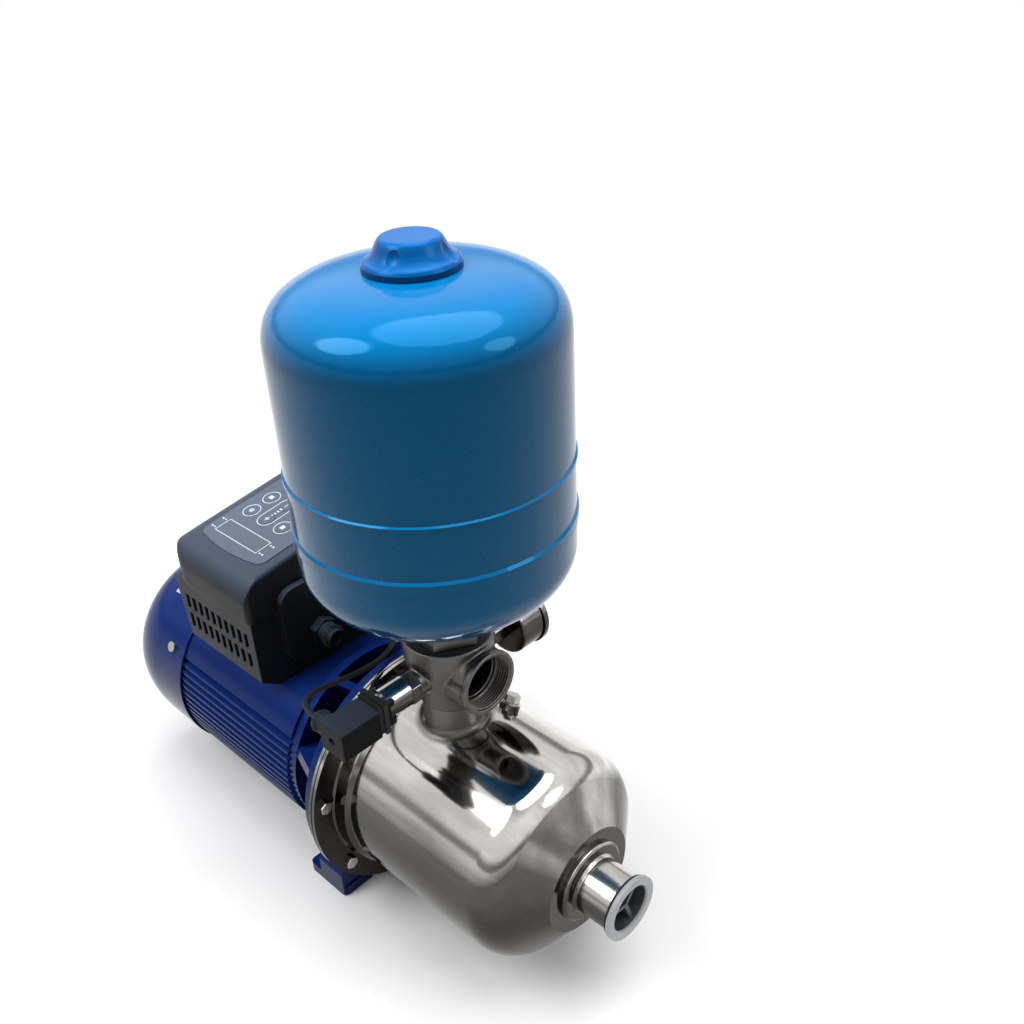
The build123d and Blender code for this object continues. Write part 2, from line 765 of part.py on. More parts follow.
def foot():
    floor = -SHAFT_H
    half = FOOT_L / 2
    body = block(FOOT_LEG_REAR, PAD_FRONT, -FOOT_HALF_W, FOOT_HALF_W, PAD_BOTTOM - BRIDGE_T, PAD_BOTTOM)
    for side in (-1, 1):
        y0, y1 = sorted((side * FOOT_TOE_IN_Y, side * FOOT_HALF_W))
        toe = block(-half, half, y0, y1, floor, floor + FOOT_TOE_T)
        toe = fillet(toe.edges().filter_by(Axis.Z), FOOT_EDGE)
        y0, y1 = sorted((side * FOOT_LEG_IN_Y, side * FOOT_HALF_W))
        body += toe
        body += block(FOOT_LEG_REAR, PAD_FRONT, y0, y1, floor + 1, PAD_BOTTOM)
        body -= rod((FOOT_HOLE_X, side * FOOT_HOLE_Y, floor), (0, 0, 1), FOOT_HOLE_R, FOOT_TOE_T)
        for x in FOOT_SCREW_X:
            body -= rod((x, side * FOOT_SCREW_Y, floor), (0, 0, 1), FOOT_SCREW_R + EASY, SHAFT_H)
    body = fillet(body.edges().filter_by(Axis.X).group_by(Axis.Z)[-1], FOOT_EDGE)
    return body


def foot_screws():
    screws = []
    under = PAD_BOTTOM - BRIDGE_T
    for side in (-1, 1):
        for x in FOOT_SCREW_X:
            seat = (x, side * FOOT_SCREW_Y, under)
            head = hexagon(seat, (0, 0, -1), 2 * FOOT_SCREW_HEAD_R, FOOT_SCREW_HEAD_H)
            screws.append(head + rod(seat, (0, 0, 1), FOOT_SCREW_R, FOOT_SCREW_L))
    return group(screws)


# Pump end
def bolt_points():
    step = 360 / BOLT_COUNT
    return [around(180 - BOLT_FIRST + i * step, BOLT_RING_R) for i in range(BOLT_COUNT)]


def drilled(piece, x0, x1):
    """Cut the clearance holes of the casing bolts between two planes."""
    for y, z in bolt_points():
        piece -= rod((x0, y, z), (1, 0, 0), BOLT_HOLE_R, x1 - x0)
    return piece


def gasket_x():
    return COVER_PLATE_X + COVER_PLATE_T


def flange_x():
    return gasket_x() + GASKET_T


def seal_cover():
    front = gasket_x()
    hub = SEAT_R + SEAT_WALL
    plate = spun([
        (SEAL_HUB_REAR, SEAT_R), (SEAL_HUB_REAR, hub), (COVER_PLATE_X, hub),
        (COVER_PLATE_X, FLANGE_R), (front, FLANGE_R), (front, hub),
        (SEAL_HUB_FRONT, hub), (SEAL_HUB_FRONT, SEAT_R),
    ])
    return drilled(plate, COVER_PLATE_X, front)


def casing_gasket():
    return drilled(ring(gasket_x(), flange_x(), FLANGE_R - 1, GASKET_IN_R), gasket_x(), flange_x())


def seal_seat():
    return ring(SEAT_REAR, SEAT_FRONT, SEAT_R - FIT, SEAT_IN_R)


def seal_rotor():
    face = SEAT_FRONT + SEAL_FACE_L
    bore = PUMP_SHAFT_R + FIT
    fold = (SEAL_END - face) / (2 * BELLOWS_FOLDS)
    points = [(SEAT_FRONT, bore), (SEAT_FRONT, SEAL_FACE_R), (face, SEAL_FACE_R)]
    for i in range(BELLOWS_FOLDS):
        points.append((face + 2 * i * fold + 0.01, BELLOWS_LOW_R))
        points.append((face + (2 * i + 1) * fold, BELLOWS_R))
    points += [(SEAL_END, BELLOWS_LOW_R), (SEAL_END, bore)]
    return spun(points)


def front_turn():
    """Angle from the shaft at which the rounded shoulder runs out into the sloping front."""
    ahead = FRONT_LIP_X - SHOULDER_X
    drop = FRONT_LIP_R - (CASING_R - SHOULDER_R)
    return math.atan2(drop, ahead) + math.acos(SHOULDER_R / math.hypot(ahead, drop))


def front_x(radius, inset):
    """Where the casing's sloping front wall stands at a radius, set in by a wall thickness."""
    turn = front_turn()
    return FRONT_LIP_X - (radius - FRONT_LIP_R) * math.tan(turn) - inset / math.cos(turn)


def shell_volume(start, inset):
    """The casing's outer volume, or its inside when set in by the wall thickness."""
    radius = CASING_R - inset
    bend = SHOULDER_R - inset
    turn = front_turn()
    lip_x = FRONT_LIP_X - inset
    lip_r = FRONT_LIP_R - inset * (1 - math.cos(turn)) / math.sin(turn)

    def on_shoulder(angle):
        return (SHOULDER_X + bend * math.cos(angle), CASING_R - SHOULDER_R + bend * math.sin(angle))

    edges = [
        Line((start, 0), (start, radius)),
        Line((start, radius), (SHOULDER_X, radius)),
        ThreePointArc((SHOULDER_X, radius), on_shoulder((turn + math.pi / 2) / 2),
                      on_shoulder(turn)),
        Line(on_shoulder(turn), (lip_x, lip_r)),
        Line((lip_x, lip_r), (lip_x, 0)),
        Line((lip_x, 0), (start, 0)),
    ]
    return revolve(make_face(edges), Axis.X)


def pump_casing():
    flange = flange_x()
    face = flange + CASING_FLANGE_T
    upright = (Align.CENTER, Align.CENTER, Align.MIN)
    half = CASING_R / 2
    shell = shell_volume(flange, 0)
    shell += Pos(OUTLET_X, 0, half) * Cylinder(NECK_R, NECK_TOP - half, align=upright)
    near = [e for e in shell.edges() if abs(e.center().X - OUTLET_X) < NECK_R]
    joint = [e for e in near if e.geom_type != GeomType.CIRCLE and half < e.center().Z < CASING_R + 1]
    shell = fillet(joint, NECK_FILLET)
    shell += spun([
        (flange, CASING_R - 1), (flange, FLANGE_R), (face, FLANGE_R), (face, ROOT_R + ROOT_STEP),
        (face + ROOT_STEP, ROOT_R), (ROOT_END - 4, ROOT_R - 1), (ROOT_END, CASING_R - 0.5),
        (ROOT_END, CASING_R - 1),
    ])
    for angle, x in ((VENT_ANGLE, VENT_X), (DRAIN_ANGLE, DRAIN_X)):
        start, direction = outward(angle, x, CASING_R - CASING_T)
        shell += rod(start, direction, PLUG_BOSS_R, PLUG_BOSS_H + CASING_T)
    shell -= shell_volume(flange - 1, CASING_T)
    shell -= rod((OUTLET_X, 0, half), (0, 0, 1), NECK_BORE_R, NECK_TOP)
    shell -= ring(SHOULDER_X, FRONT_LIP_X + 5, INLET_R + FIT, 0)
    for angle, x in ((VENT_ANGLE, VENT_X), (DRAIN_ANGLE, DRAIN_X)):
        start, direction = outward(angle, x, CASING_R - 3 * CASING_T)
        shell -= rod(start, direction, PLUG_R + FIT, 4 * CASING_T + PLUG_BOSS_H)
    return drilled(shell, flange, face)


def casing_plugs():
    plugs = []
    for angle, x in ((VENT_ANGLE, VENT_X), (DRAIN_ANGLE, DRAIN_X)):
        seat = CASING_R + PLUG_BOSS_H
        start, direction = outward(angle, x, seat)
        back = tuple(-d for d in direction)
        plug = rod(start, back, PLUG_R, PLUG_BOSS_H + CASING_T)
        plug += rod(start, direction, PLUG_WASHER_R, PLUG_WASHER_T)
        start, direction = outward(angle, x, seat + PLUG_WASHER_T)
        plugs.append(plug + hexagon(start, direction, PLUG_HEAD_AF, PLUG_HEAD_H))
    return group(plugs)


def casing_bolts():
    bolts = []
    face = flange_x() + CASING_FLANGE_T
    for y, z in bolt_points():
        head = hexagon((face, y, z), (1, 0, 0), BOLT_HEAD_AF, BOLT_HEAD_H)
        bolts.append(head + rod((face, y, z), (-1, 0, 0), BOLT_R, BOLT_L))
    return group(bolts)


def inlet_socket():
    back = FRONT_LIP_X
    front = back + COLLAR_T
    return spun([
        (INLET_START, INLET_BORE_R), (INLET_START, INLET_R), (back, INLET_R), (back, COLLAR_R),
        (front - 2, COLLAR_R), (front, COLLAR_R - 3), (front, INLET_R + 2),
        (front + 2, INLET_R), (INLET_END, INLET_R), (INLET_END, INLET_BORE_R),
    ])


def inlet_plug():
    seal_end = INLET_END + INLET_SEAL_T
    bore = INLET_BORE_R - PLUG_PLAY
    cup = spun([
        (INLET_END - INLET_PLUG_DEPTH, 0), (INLET_END - INLET_PLUG_DEPTH, bore),
        (seal_end, bore), (seal_end, INLET_RIM_R), (seal_end + INLET_RIM_T, INLET_RIM_R),
        (seal_end + INLET_RIM_T, bore - INLET_PLUG_WALL),
        (INLET_END - INLET_PLUG_DEPTH + 3, bore - INLET_PLUG_WALL),
        (INLET_END - INLET_PLUG_DEPTH + 3, 0),
    ])
    rib = block(INLET_END - INLET_PLUG_DEPTH, seal_end - 1.5, -INLET_RIB_T / 2, INLET_RIB_T / 2,
                0, bore - 1)
    for turn in (80, 200, 320):
        cup += Rot(turn, 0, 0) * rib
    return cup


def inlet_seal():
    return ring(INLET_END, INLET_END + INLET_SEAL_T, INLET_SEAL_R, INLET_BORE_R)


# Stages
def stage_chambers():
    chambers = []
    inner = CHAMBER_R - CHAMBER_T
    for i in range(STAGE_COUNT):
        rear = STAGE_X + i * STAGE_PITCH
        front = rear + STAGE_PITCH
        cup = ring(rear, front, CHAMBER_R, inner)
        cup += ring(front - CHAMBER_T, front, CHAMBER_R, EYE_R)
        cup += ring(rear + MID_WALL_AT, rear + MID_WALL_AT + CHAMBER_T, MID_WALL_R, MID_WALL_BORE_R)
        guide = block(rear, rear + MID_WALL_AT + 0.5, -CHAMBER_T / 2, CHAMBER_T / 2,
                      GUIDE_IN_R, inner + 0.5)
        for k in range(GUIDE_COUNT):
            cup += Rot(k * 360 / GUIDE_COUNT, 0, 0) * guide
        chambers.append(cup)
    return group(chambers)


def impeller_vane():
    wave = Circle(VANE_ARC_R + VANE_T / 2) - Circle(VANE_ARC_R - VANE_T / 2)
    wave = Pos(0, VANE_ARC_OFF) * wave
    wave = wave & (Circle(IMPELLER_R - 0.5) - Circle(VANE_IN_R))
    return wave & Pos(IMPELLER_R, 0) * Rectangle(2 * IMPELLER_R, 2 * IMPELLER_R)


def impeller(rear):
    """One closed impeller; its eye looks toward the inlet."""
    bore = PUMP_SHAFT_R + FIT
    shroud = rear + SHROUD_T + VANE_H
    wheel = ring(rear, rear + HUB_L, HUB_R, bore)
    wheel += ring(rear, rear + SHROUD_T, IMPELLER_R, bore)
    wheel += ring(shroud, shroud + SHROUD_T, IMPELLER_R, NECK_RING_IN_R)
    wheel += ring(shroud, shroud + NECK_RING_L, NECK_RING_R, NECK_RING_IN_R)
    vane = extrude(Plane.YZ.offset(rear + SHROUD_T / 2) * impeller_vane(), VANE_H + SHROUD_T)
    for i in range(VANE_COUNT):
        wheel += Rot(i * 360 / VANE_COUNT, 0, 0) * vane
    return wheel


def impellers():
    first = STAGE_X + IMPELLER_AT
    return group([impeller(first + i * STAGE_PITCH) for i in range(STAGE_COUNT)])


def shaft_spacers():
    bore = PUMP_SHAFT_R + FIT
    first = STAGE_X + IMPELLER_AT
    sleeves = [ring(SEAL_END, first, HUB_R, bore)]
    for i in range(STAGE_COUNT - 1):
        hub_end = first + i * STAGE_PITCH + HUB_L
        sleeves.append(ring(hub_end, first + (i + 1) * STAGE_PITCH, HUB_R, bore))
    return group(sleeves)


def impeller_nut():
    start = impeller_hub_end()
    bore = THREAD_R + FIT
    nut = ring(start, start + NUT_WASHER_T, NUT_WASHER_R, bore)
    nut += hexagon((start + NUT_WASHER_T, 0, 0), (1, 0, 0), NUT_AF, NUT_H)
    return nut - rod((start, 0, 0), (1, 0, 0), bore, NUT_WASHER_T + NUT_H)


def discharge_ring():
    cage = ring(gasket_x(), STAGE_X, CHAMBER_R - 1, CHAMBER_R - 4)
    window = block(WINDOW_REAR, WINDOW_FRONT, -WINDOW_W / 2, WINDOW_W / 2, 0, CASING_R)
    for i in range(WINDOW_COUNT):
        cage -= Rot(i * 360 / WINDOW_COUNT, 0, 0) * window
    return cage


def suction_ring():
    rear = STAGE_X + STAGE_COUNT * STAGE_PITCH
    inner = SUCTION_R - CASING_T
    gap = CASING_T + FIT
    return spun([
        (rear, inner), (rear, SUCTION_R), (front_x(SUCTION_R, gap), SUCTION_R),
        (front_x(inner, gap), inner),
    ])


# Outlet fitting and tank
def five_way_fitting():
    middle = (WAY_BOTTOM + WAY_TOP) / 2
    side = Spline((WAY_LOW_R, WAY_BOTTOM + 3), (WAY_WAIST_R, middle - 6), (WAY_R, WAY_TOP - 8),
                  tangents=[(0.1, 1), (0, 1)])
    body = tank_profile([
        Line((0, WAY_BOTTOM), (WAY_LOW_R, WAY_BOTTOM)),
        Line((WAY_LOW_R, WAY_BOTTOM), (WAY_LOW_R, WAY_BOTTOM + 3)), side,
        Line((WAY_R, WAY_TOP - 8), (WAY_R, WAY_TOP)), Line((WAY_R, WAY_TOP), (0, WAY_TOP)),
        Line((0, WAY_TOP), (0, WAY_BOTTOM)),
    ])
    centre = (OUTLET_X, 0, PORT_Z)
    body += rod(centre, (1, 0, 0), PORT_R, PORT_OUT)
    body += rod((OUTLET_X + PORT_OUT - PORT_LIP_L, 0, PORT_Z), (1, 0, 0), PORT_LIP_R, PORT_LIP_L)
    for way in ((0, -1, 0), (0, 1, 0)):
        body += rod(centre, way, SIDE_BOSS_R, SIDE_BOSS_OUT)
    body -= tube_up(WAY_BOTTOM - 1, ADAPTOR_LOW, NECK_R + FIT, 0)
    body -= tube_up(ADAPTOR_LOW - 1, WAY_TOP + 1, ADAPTOR_R + FIT, 0)
    body -= rod(centre, (1, 0, 0), PORT_WAY_R, PORT_OUT)
    thread_start = (OUTLET_X + PORT_OUT - PORT_THREAD_L, 0, PORT_Z)
    body -= rod(thread_start, (1, 0, 0), PORT_BORE_R, PORT_THREAD_L + 1)
    for way in ((0, -1, 0), (0, 1, 0)):
        body -= rod(centre, way, SIDE_BORE_R + FIT, SIDE_BOSS_OUT + 1)
    return body


def tank_adaptor():
    nipple = tube_up(ADAPTOR_LOW, WAY_TOP, ADAPTOR_R, 0)
    nipple += hexagon((OUTLET_X, 0, WAY_TOP), (0, 0, 1), ADAPTOR_AF, ADAPTOR_TOP - WAY_TOP)
    nipple -= tube_up(ADAPTOR_LOW - 1, ADAPTOR_TOP + 1, ADAPTOR_BORE_R, 0)
    return nipple - tube_up(STEM_BOTTOM, ADAPTOR_TOP + 1, STEM_R + FIT, 0)


def dome(radius, level, height, power, end_r):
    """Dome edge from the wall inward on a rounded-square curve; a negative height hangs down."""
    def at(r):
        return level + height * (1 - (r / radius) ** power) ** (1 / power)

    points = [(radius * share, at(radius * share)) for share in (1, 0.985, 0.94, 0.8, 0.55, 0.3)]
    points.append((end_r, at(end_r)))
    rise = math.copysign(1, height)
    return Spline(*points, tangents=[(0, rise), (-1, at(end_r) - at(end_r + 1))])


def tank_profile(edges):
    """Turn a closed chain of (radius, z) edges about the tank axis."""
    face = Plane.XZ * make_face(edges)
    solid = revolve(face, Axis.Z)
    return Pos(OUTLET_X, 0, 0) * solid


def tank_lower_shell():
    level = TANK_BOTTOM + LOW_DOME_H
    inner_r = TANK_R - TANK_T
    outer = dome(TANK_R, level, -LOW_DOME_H, LOW_DOME_POWER, STEM_R)
    inner = dome(inner_r, level, TANK_T - LOW_DOME_H, LOW_DOME_POWER, ADAPTOR_BORE_R)
    out_end, in_end = outer @ 1, inner @ 1
    edges = [
        outer, inner,
        Line((TANK_R, level), (TANK_R, JOINT_Z)),
        Line((TANK_R, JOINT_Z), (inner_r, JOINT_Z)),
        Line((inner_r, JOINT_Z), (inner_r, level)),
        Line(out_end, (STEM_R, STEM_BOTTOM)),
        Line((STEM_R, STEM_BOTTOM), (ADAPTOR_BORE_R, STEM_BOTTOM)),
        Line((ADAPTOR_BORE_R, STEM_BOTTOM), in_end),
    ]
    return tank_profile(edges)


def tank_upper_shell():
    inner_r = TANK_R - TANK_T
    outer = dome(TANK_R, WALL_TOP, TOP_DOME_H, TOP_DOME_POWER, VALVE_HOLE_R)
    inner = dome(inner_r, WALL_TOP, TOP_DOME_H - TANK_T, TOP_DOME_POWER, VALVE_HOLE_R)
    band_r = TANK_R + JOINT_STEP
    bead_r = TANK_R + BEAD_STEP
    low = JOINT_Z - JOINT_W
    side = Polyline([
        (TANK_R, WALL_TOP), (TANK_R, BEAD_Z + BEAD_W / 2), (bead_r, BEAD_Z + BEAD_W / 4),
        (bead_r, BEAD_Z - BEAD_W / 4), (TANK_R, BEAD_Z - BEAD_W / 2), (TANK_R, JOINT_Z + 2),
        (band_r, JOINT_Z), (band_r, low), (TANK_R + FIT, low), (TANK_R + FIT, JOINT_Z),
        (inner_r, JOINT_Z), (inner_r, WALL_TOP),
    ])
    edges = [outer, inner, side, Line(outer @ 1, inner @ 1)]
    return tank_profile(edges)


def tank_diaphragm():
    """Rubber cup between air and water, with a flat moulded disc at its lowest point."""
    wall_r = TANK_R - TANK_T - FIT
    low = BAG_TOP - BAG_CUFF
    depth = BAG_LOW - low
    outer = dome(BAG_R, low, depth, BAG_POWER, BAG_DISC_R)
    inner = dome(BAG_R - BAG_T, low, depth + BAG_T, BAG_POWER, BAG_DISC_R)
    out_end, in_end = outer @ 1, inner @ 1
    edges = [
        outer, inner,
        Line(out_end, (0, out_end.Y)),
        Line((0, out_end.Y), (0, in_end.Y)),
        Line((0, in_end.Y), in_end),
        Line((BAG_R - BAG_T, low), (wall_r - BAG_T, BAG_TOP)),
        Line((wall_r - BAG_T, BAG_TOP), (wall_r, BAG_TOP)),
        Line((wall_r, BAG_TOP), (wall_r, low)),
        Line((wall_r, low), (BAG_R, low)),
    ]
    return tank_profile(edges)


def dome_top():
    return WALL_TOP + TOP_DOME_H


def air_valve():
    top = dome_top()
    tail = top - TANK_T - VALVE_TAIL
    valve = tube_up(top, top + VALVE_BASE_H, VALVE_BASE_R, 0)
    valve += tube_up(tail, top, VALVE_HOLE_R - FIT, 0)
    return valve + tube_up(top + VALVE_BASE_H, top + VALVE_STEM_H, VALVE_STEM_R, 0)


def tank_cap():
    base = CAP_BASE
    top = base + CAP_H
    skirt = Spline(
        (CAP_TOP_R - CAP_TOP_EDGE, top), (CAP_TOP_R, top - 1.2), (CAP_TOP_R + 4, top - 8),
        (CAP_R - 3, base + CAP_BAND + 3), (CAP_R, base + CAP_BAND), tangents=[(1, 0), (0.5, -1)],
    )
    shell = tank_profile([
        Line((0, top), (CAP_TOP_R - CAP_TOP_EDGE, top)), skirt,
        Line((CAP_R, base + CAP_BAND), (CAP_R, base)), Line((CAP_R, base), (0, base)),
        Line((0, base), (0, top)),
    ])
    for i in range(CAP_SCOOPS):
        turn = Rot(0, 0, CAP_TURN + i * 360 / CAP_SCOOPS)
        scoop = turn * Pos(CAP_SCOOP_OUT, 0, base + CAP_SCOOP_UP) * Sphere(CAP_SCOOP_R)
        shell -= Pos(OUTLET_X, 0, 0) * scoop
    roof = top - CAP_ROOF
    return shell - stood([
        (0, base - 1), (CAP_R - CAP_WALL, base - 1), (CAP_R - CAP_WALL, base + 1),
        (CAP_TOP_R, base + 8), (CAP_TOP_R - 2, roof), (0, roof),
    ])


# Pressure transmitter and its cable
def left(distance, drop=0.0, ahead=0.0):
    """Point out to the left of the outlet axis, at the height of the side bosses."""
    return (OUTLET_X + ahead, -distance, PORT_Z - drop)


def transmitter_body():
    way = (0, -1, 0)
    body = rod(left(SIDE_BOSS_OUT - SPIGOT_L), way, SIDE_BORE_R, SPIGOT_L)
    body += hexagon(left(SIDE_BOSS_OUT), way, SENSOR_HEX_AF, SENSOR_HEX_END - SIDE_BOSS_OUT)
    body += rod(left(SENSOR_HEX_END), way, SENSOR_R, SENSOR_END - SENSOR_HEX_END)
    return body + rod(left(SENSOR_END), way, SENSOR_NECK_R, SENSOR_TIP - SENSOR_END)


def connector_seal():
    near = SENSOR_TIP
    mid = near + SEAL_PLATE_T
    far = mid + SEAL_STEP_T
    pieces = []
    for width, y0, y1 in ((SEAL_PLATE_W, near, mid), (SEAL_STEP_W, mid, far)):
        half = width / 2
        centre = PORT_Z - CONN_DROP / 2
        pieces.append(block(OUTLET_X - half, OUTLET_X + half, -y1, -y0, centre - half, centre + half))
    return pieces[0] + pieces[1]


def connector_housing():
    near = SENSOR_TIP + SEAL_PLATE_T + SEAL_STEP_T
    far = near + CONN_L
    z = PORT_Z - CONN_DROP
    box = block(OUTLET_X - CONN_W / 2, OUTLET_X + CONN_W / 2, -far, -near, z - CONN_H / 2, z + CONN_H / 2)
    box = fillet(box.edges().filter_by(Axis.Y), CONN_EDGE)
    box += rod(left(GLAND_AT, GLAND_DROP), (-1, 0, 0), GLAND_BOSS_R, CONN_W / 2)
    return box - rod(left(far, CONN_DROP), (0, 1, 0), CONN_SCREW_R, CONN_SCREW_DEPTH)


def gland_start():
    return left(GLAND_AT, GLAND_DROP, -CONN_W / 2)


def connector_gland():
    x, y, z = gland_start()
    gland = rod((x, y, z), (-1, 0, 0), GLAND_COLLAR_R, GLAND_COLLAR_L)
    nut = Plane(origin=(x - GLAND_COLLAR_L, y, z), z_dir=(-1, 0, 0)) * Cone(
        GLAND_NUT_R, GLAND_TIP_R, GLAND_L - GLAND_COLLAR_L,
        align=(Align.CENTER, Align.CENTER, Align.MIN))
    return gland + nut


def cable_points():
    """Out of the connector, round the back of the fitting and into the controller."""
    x, y, z = gland_start()
    first = (x - GLAND_L, y, z)
    last = (TONGUE_FRONT + ENTRY_L, SIGNAL_Y, ENTRY_Z)
    return [
        first,
        (first[0] - 15, y, z),
        (first[0] - 27, y + 7.5, z - 2),
        (first[0] - 33, y + 20, z - 4.5),
        (first[0] - 32, y + 45, z - 9.5),
        (first[0] - 31, y + 82, z - 13.5),
        (first[0] - 43, y + 110, z - 15.5),
        (last[0] + 22, SIGNAL_Y, ENTRY_Z),
        last,
    ]


def turn_radii(points):
    """Bend radius at each inner point: what nearly uses up the shorter run beside it."""
    radii = []
    for before, here, after in zip(points, points[1:], points[2:]):
        a = Vector(*here) - Vector(*before)
        b = Vector(*after) - Vector(*here)
        turn = math.radians(a.get_angle(b))
        radii.append(0.45 * min(a.length, b.length) / math.tan(turn / 2))
    return radii


def signal_cable():
    points = cable_points()
    radii = turn_radii(points)
    print("signal cable bend radii", [round(r, 1) for r in radii])
    route = FilletPolyline(points, radius=radii)
    start = Plane(origin=points[0], z_dir=route % 0)
    cable = sweep(start * Circle(CABLE_R), path=route)
    print("signal cable length", round(route.length, 1),
          "volume over section", round(cable.volume / (math.pi * CABLE_R ** 2), 1))
    return cable


# Gauge
def right(distance):
    """Point out to the right of the outlet axis, at the height of the side bosses."""
    return (OUTLET_X, distance, PORT_Z)


def gauge_stem():
    way = (0, 1, 0)
    stem = rod(right(SIDE_BOSS_OUT - SPIGOT_L), way, SIDE_BORE_R, SPIGOT_L)
    return stem + hexagon(right(SIDE_BOSS_OUT), way, GAUGE_HEX_AF, GAUGE_BACK - SIDE_BOSS_OUT)


def gauge_case():
    way = (0, 1, 0)
    case = rod(right(GAUGE_BACK), way, GAUGE_R, GAUGE_FRONT - GAUGE_BACK)
    case = fillet(case.edges().sort_by(Axis.Y)[0], 2.5)
    floor = GAUGE_BACK + 2 * GAUGE_WALL
    case -= rod(right(floor), way, GAUGE_R - GAUGE_WALL, GAUGE_FRONT)
    case += rod(right(floor - 0.5), way, POST_R, DIAL_AT - floor + 0.5)
    for side in (-1, 1):
        post = (OUTLET_X + side * POINTER_L, floor - 0.5, PORT_Z)
        case += rod(post, way, 2, DIAL_AT - floor + 0.5)
    return case - rod(right(floor), way, POINTER_R + EASY, GAUGE_FRONT)


def gauge_dial():
    dial = rod(right(DIAL_AT), (0, 1, 0), GAUGE_R - GAUGE_WALL - EASY, DIAL_T)
    return dial - rod(right(DIAL_AT - 1), (0, 1, 0), DIAL_HOLE_R, 3)


def gauge_pointer():
    way = (0, 1, 0)
    floor = GAUGE_BACK + 2 * GAUGE_WALL + 0.3
    plate = DIAL_AT + DIAL_T + POINTER_GAP
    pointer = rod(right(floor), way, POINTER_R, plate - floor + 0.1)
    pointer += rod(right(plate), way, POINTER_HUB_R, POINTER_T + 0.8)
    outline = Polyline([
        (-POINTER_W / 2, -POINTER_TAIL), (POINTER_W / 2, -POINTER_TAIL),
        (0.3, POINTER_L), (-0.3, POINTER_L),
    ], close=True)
    dial_plane = Plane(origin=right(plate), x_dir=(-1, 0, 0), z_dir=way)
    needle = Rot(0, 0, -POINTER_REST) * make_face(outline)
    return pointer + extrude(dial_plane * needle, POINTER_T)


def gauge_bezel():
    back = GAUGE_FRONT
    outline = Polyline([
        (BEZEL_IN_R + 1, back), (BEZEL_R, back), (BEZEL_R, BEZEL_FRONT - 2), (BEZEL_R - 1.5, BEZEL_FRONT),
        (BEZEL_IN_R, BEZEL_FRONT - 1), (BEZEL_IN_R, GLASS_AT + WINDOW_T + FIT),
        (BEZEL_IN_R + 1, GLASS_AT + WINDOW_T + FIT),
    ], close=True)
    return about_gauge(outline)


def about_gauge(outline):
    """Turn a (radius, y) outline about the gauge axis."""
    solid = revolve(make_face(outline), Axis.Y)
    return Pos(OUTLET_X, 0, PORT_Z) * solid


def gauge_window():
    return rod(right(GLASS_AT), (0, 1, 0), BEZEL_IN_R + 1 - FIT, WINDOW_T)


# Speed controller
def base_block(inset):
    """The base's outer volume, or its inside when set in by the wall thickness."""
    low = PAD_TOP + inset
    half = BOX_HALF_W - inset
    step = BOX_STEP_Z + inset / 2
    top = SEAM_Z + (1 if inset else 0)
    across = make_face(Polyline([
        (-half, top), (-half, step), (-BOX_LOW_HALF_W, low), (BOX_LOW_HALF_W, low),
        (half, step), (half, top),
    ], close=True))
    along = make_face(Polyline([
        (BOX_REAR + inset, top), (BOX_REAR_LOW + inset, low), (BOX_FRONT - inset, low),
        (BOX_FRONT - inset, top),
    ], close=True))
    volume = extrude(Plane.YZ.offset(BOX_REAR) * across, BOX_FRONT - BOX_REAR)
    return volume & extrude(Plane.XZ.offset(-half) * along, 2 * half)


def tongue(grow, x0, x1):
    """Raised front cover, grown by a clearance where something else is cut to fit it."""
    height = TONGUE_TOP - TONGUE_LOW + 2 * grow
    sketch = Pos(0, (TONGUE_LOW + TONGUE_TOP) / 2) * RectangleRounded(
        2 * (TONGUE_HALF_W + grow), height, TONGUE_ROUND)
    return extrude(Plane.YZ.offset(x0) * sketch, x1 - x0)


def wire_window(z0, z1):
    half_l, half_w = WIRE_L / 2, WIRE_W / 2
    return block(WIRE_X - half_l, WIRE_X + half_l, -half_w, half_w, z0, z1)


def controller_base():
    floor = PAD_TOP + BOX_WALL
    base = base_block(0) - base_block(BOX_WALL)
    base += tongue(0, BOX_FRONT, TONGUE_FRONT)
    for i in range(VENT_COUNT):
        for z in VENT_ROWS:
            base -= Pos(VENT_FIRST_X + i * VENT_PITCH, 0, z) * Box(VENT_W, 3 * BOX_HALF_W, VENT_H)
    base -= wire_window(PAD_TOP - 1, floor + 1)
    for x in BASE_SCREW_X:
        for y in (-BASE_SCREW_Y, BASE_SCREW_Y):
            base -= rod((x, y, PAD_TOP), (0, 0, 1), SCREW_R + FIT, BOX_WALL)
    inside = BOX_FRONT - BOX_WALL - 1
    for y in (MAINS_Y, SIGNAL_Y):
        base -= rod((inside, y, ENTRY_Z), (1, 0, 0), ENTRY_SHANK_R + FIT, TONGUE_FRONT - inside + 1)
    return base


def on_lid(shape):
    """Carry a shape drawn at the middle of a level lid onto the tilted one."""
    tilt = math.radians(LID_TILT)
    top = Plane(origin=(0, 0, LID_TOP), x_dir=(1, 0, 0), z_dir=(0, -math.sin(tilt), math.cos(tilt)))
    return top * shape


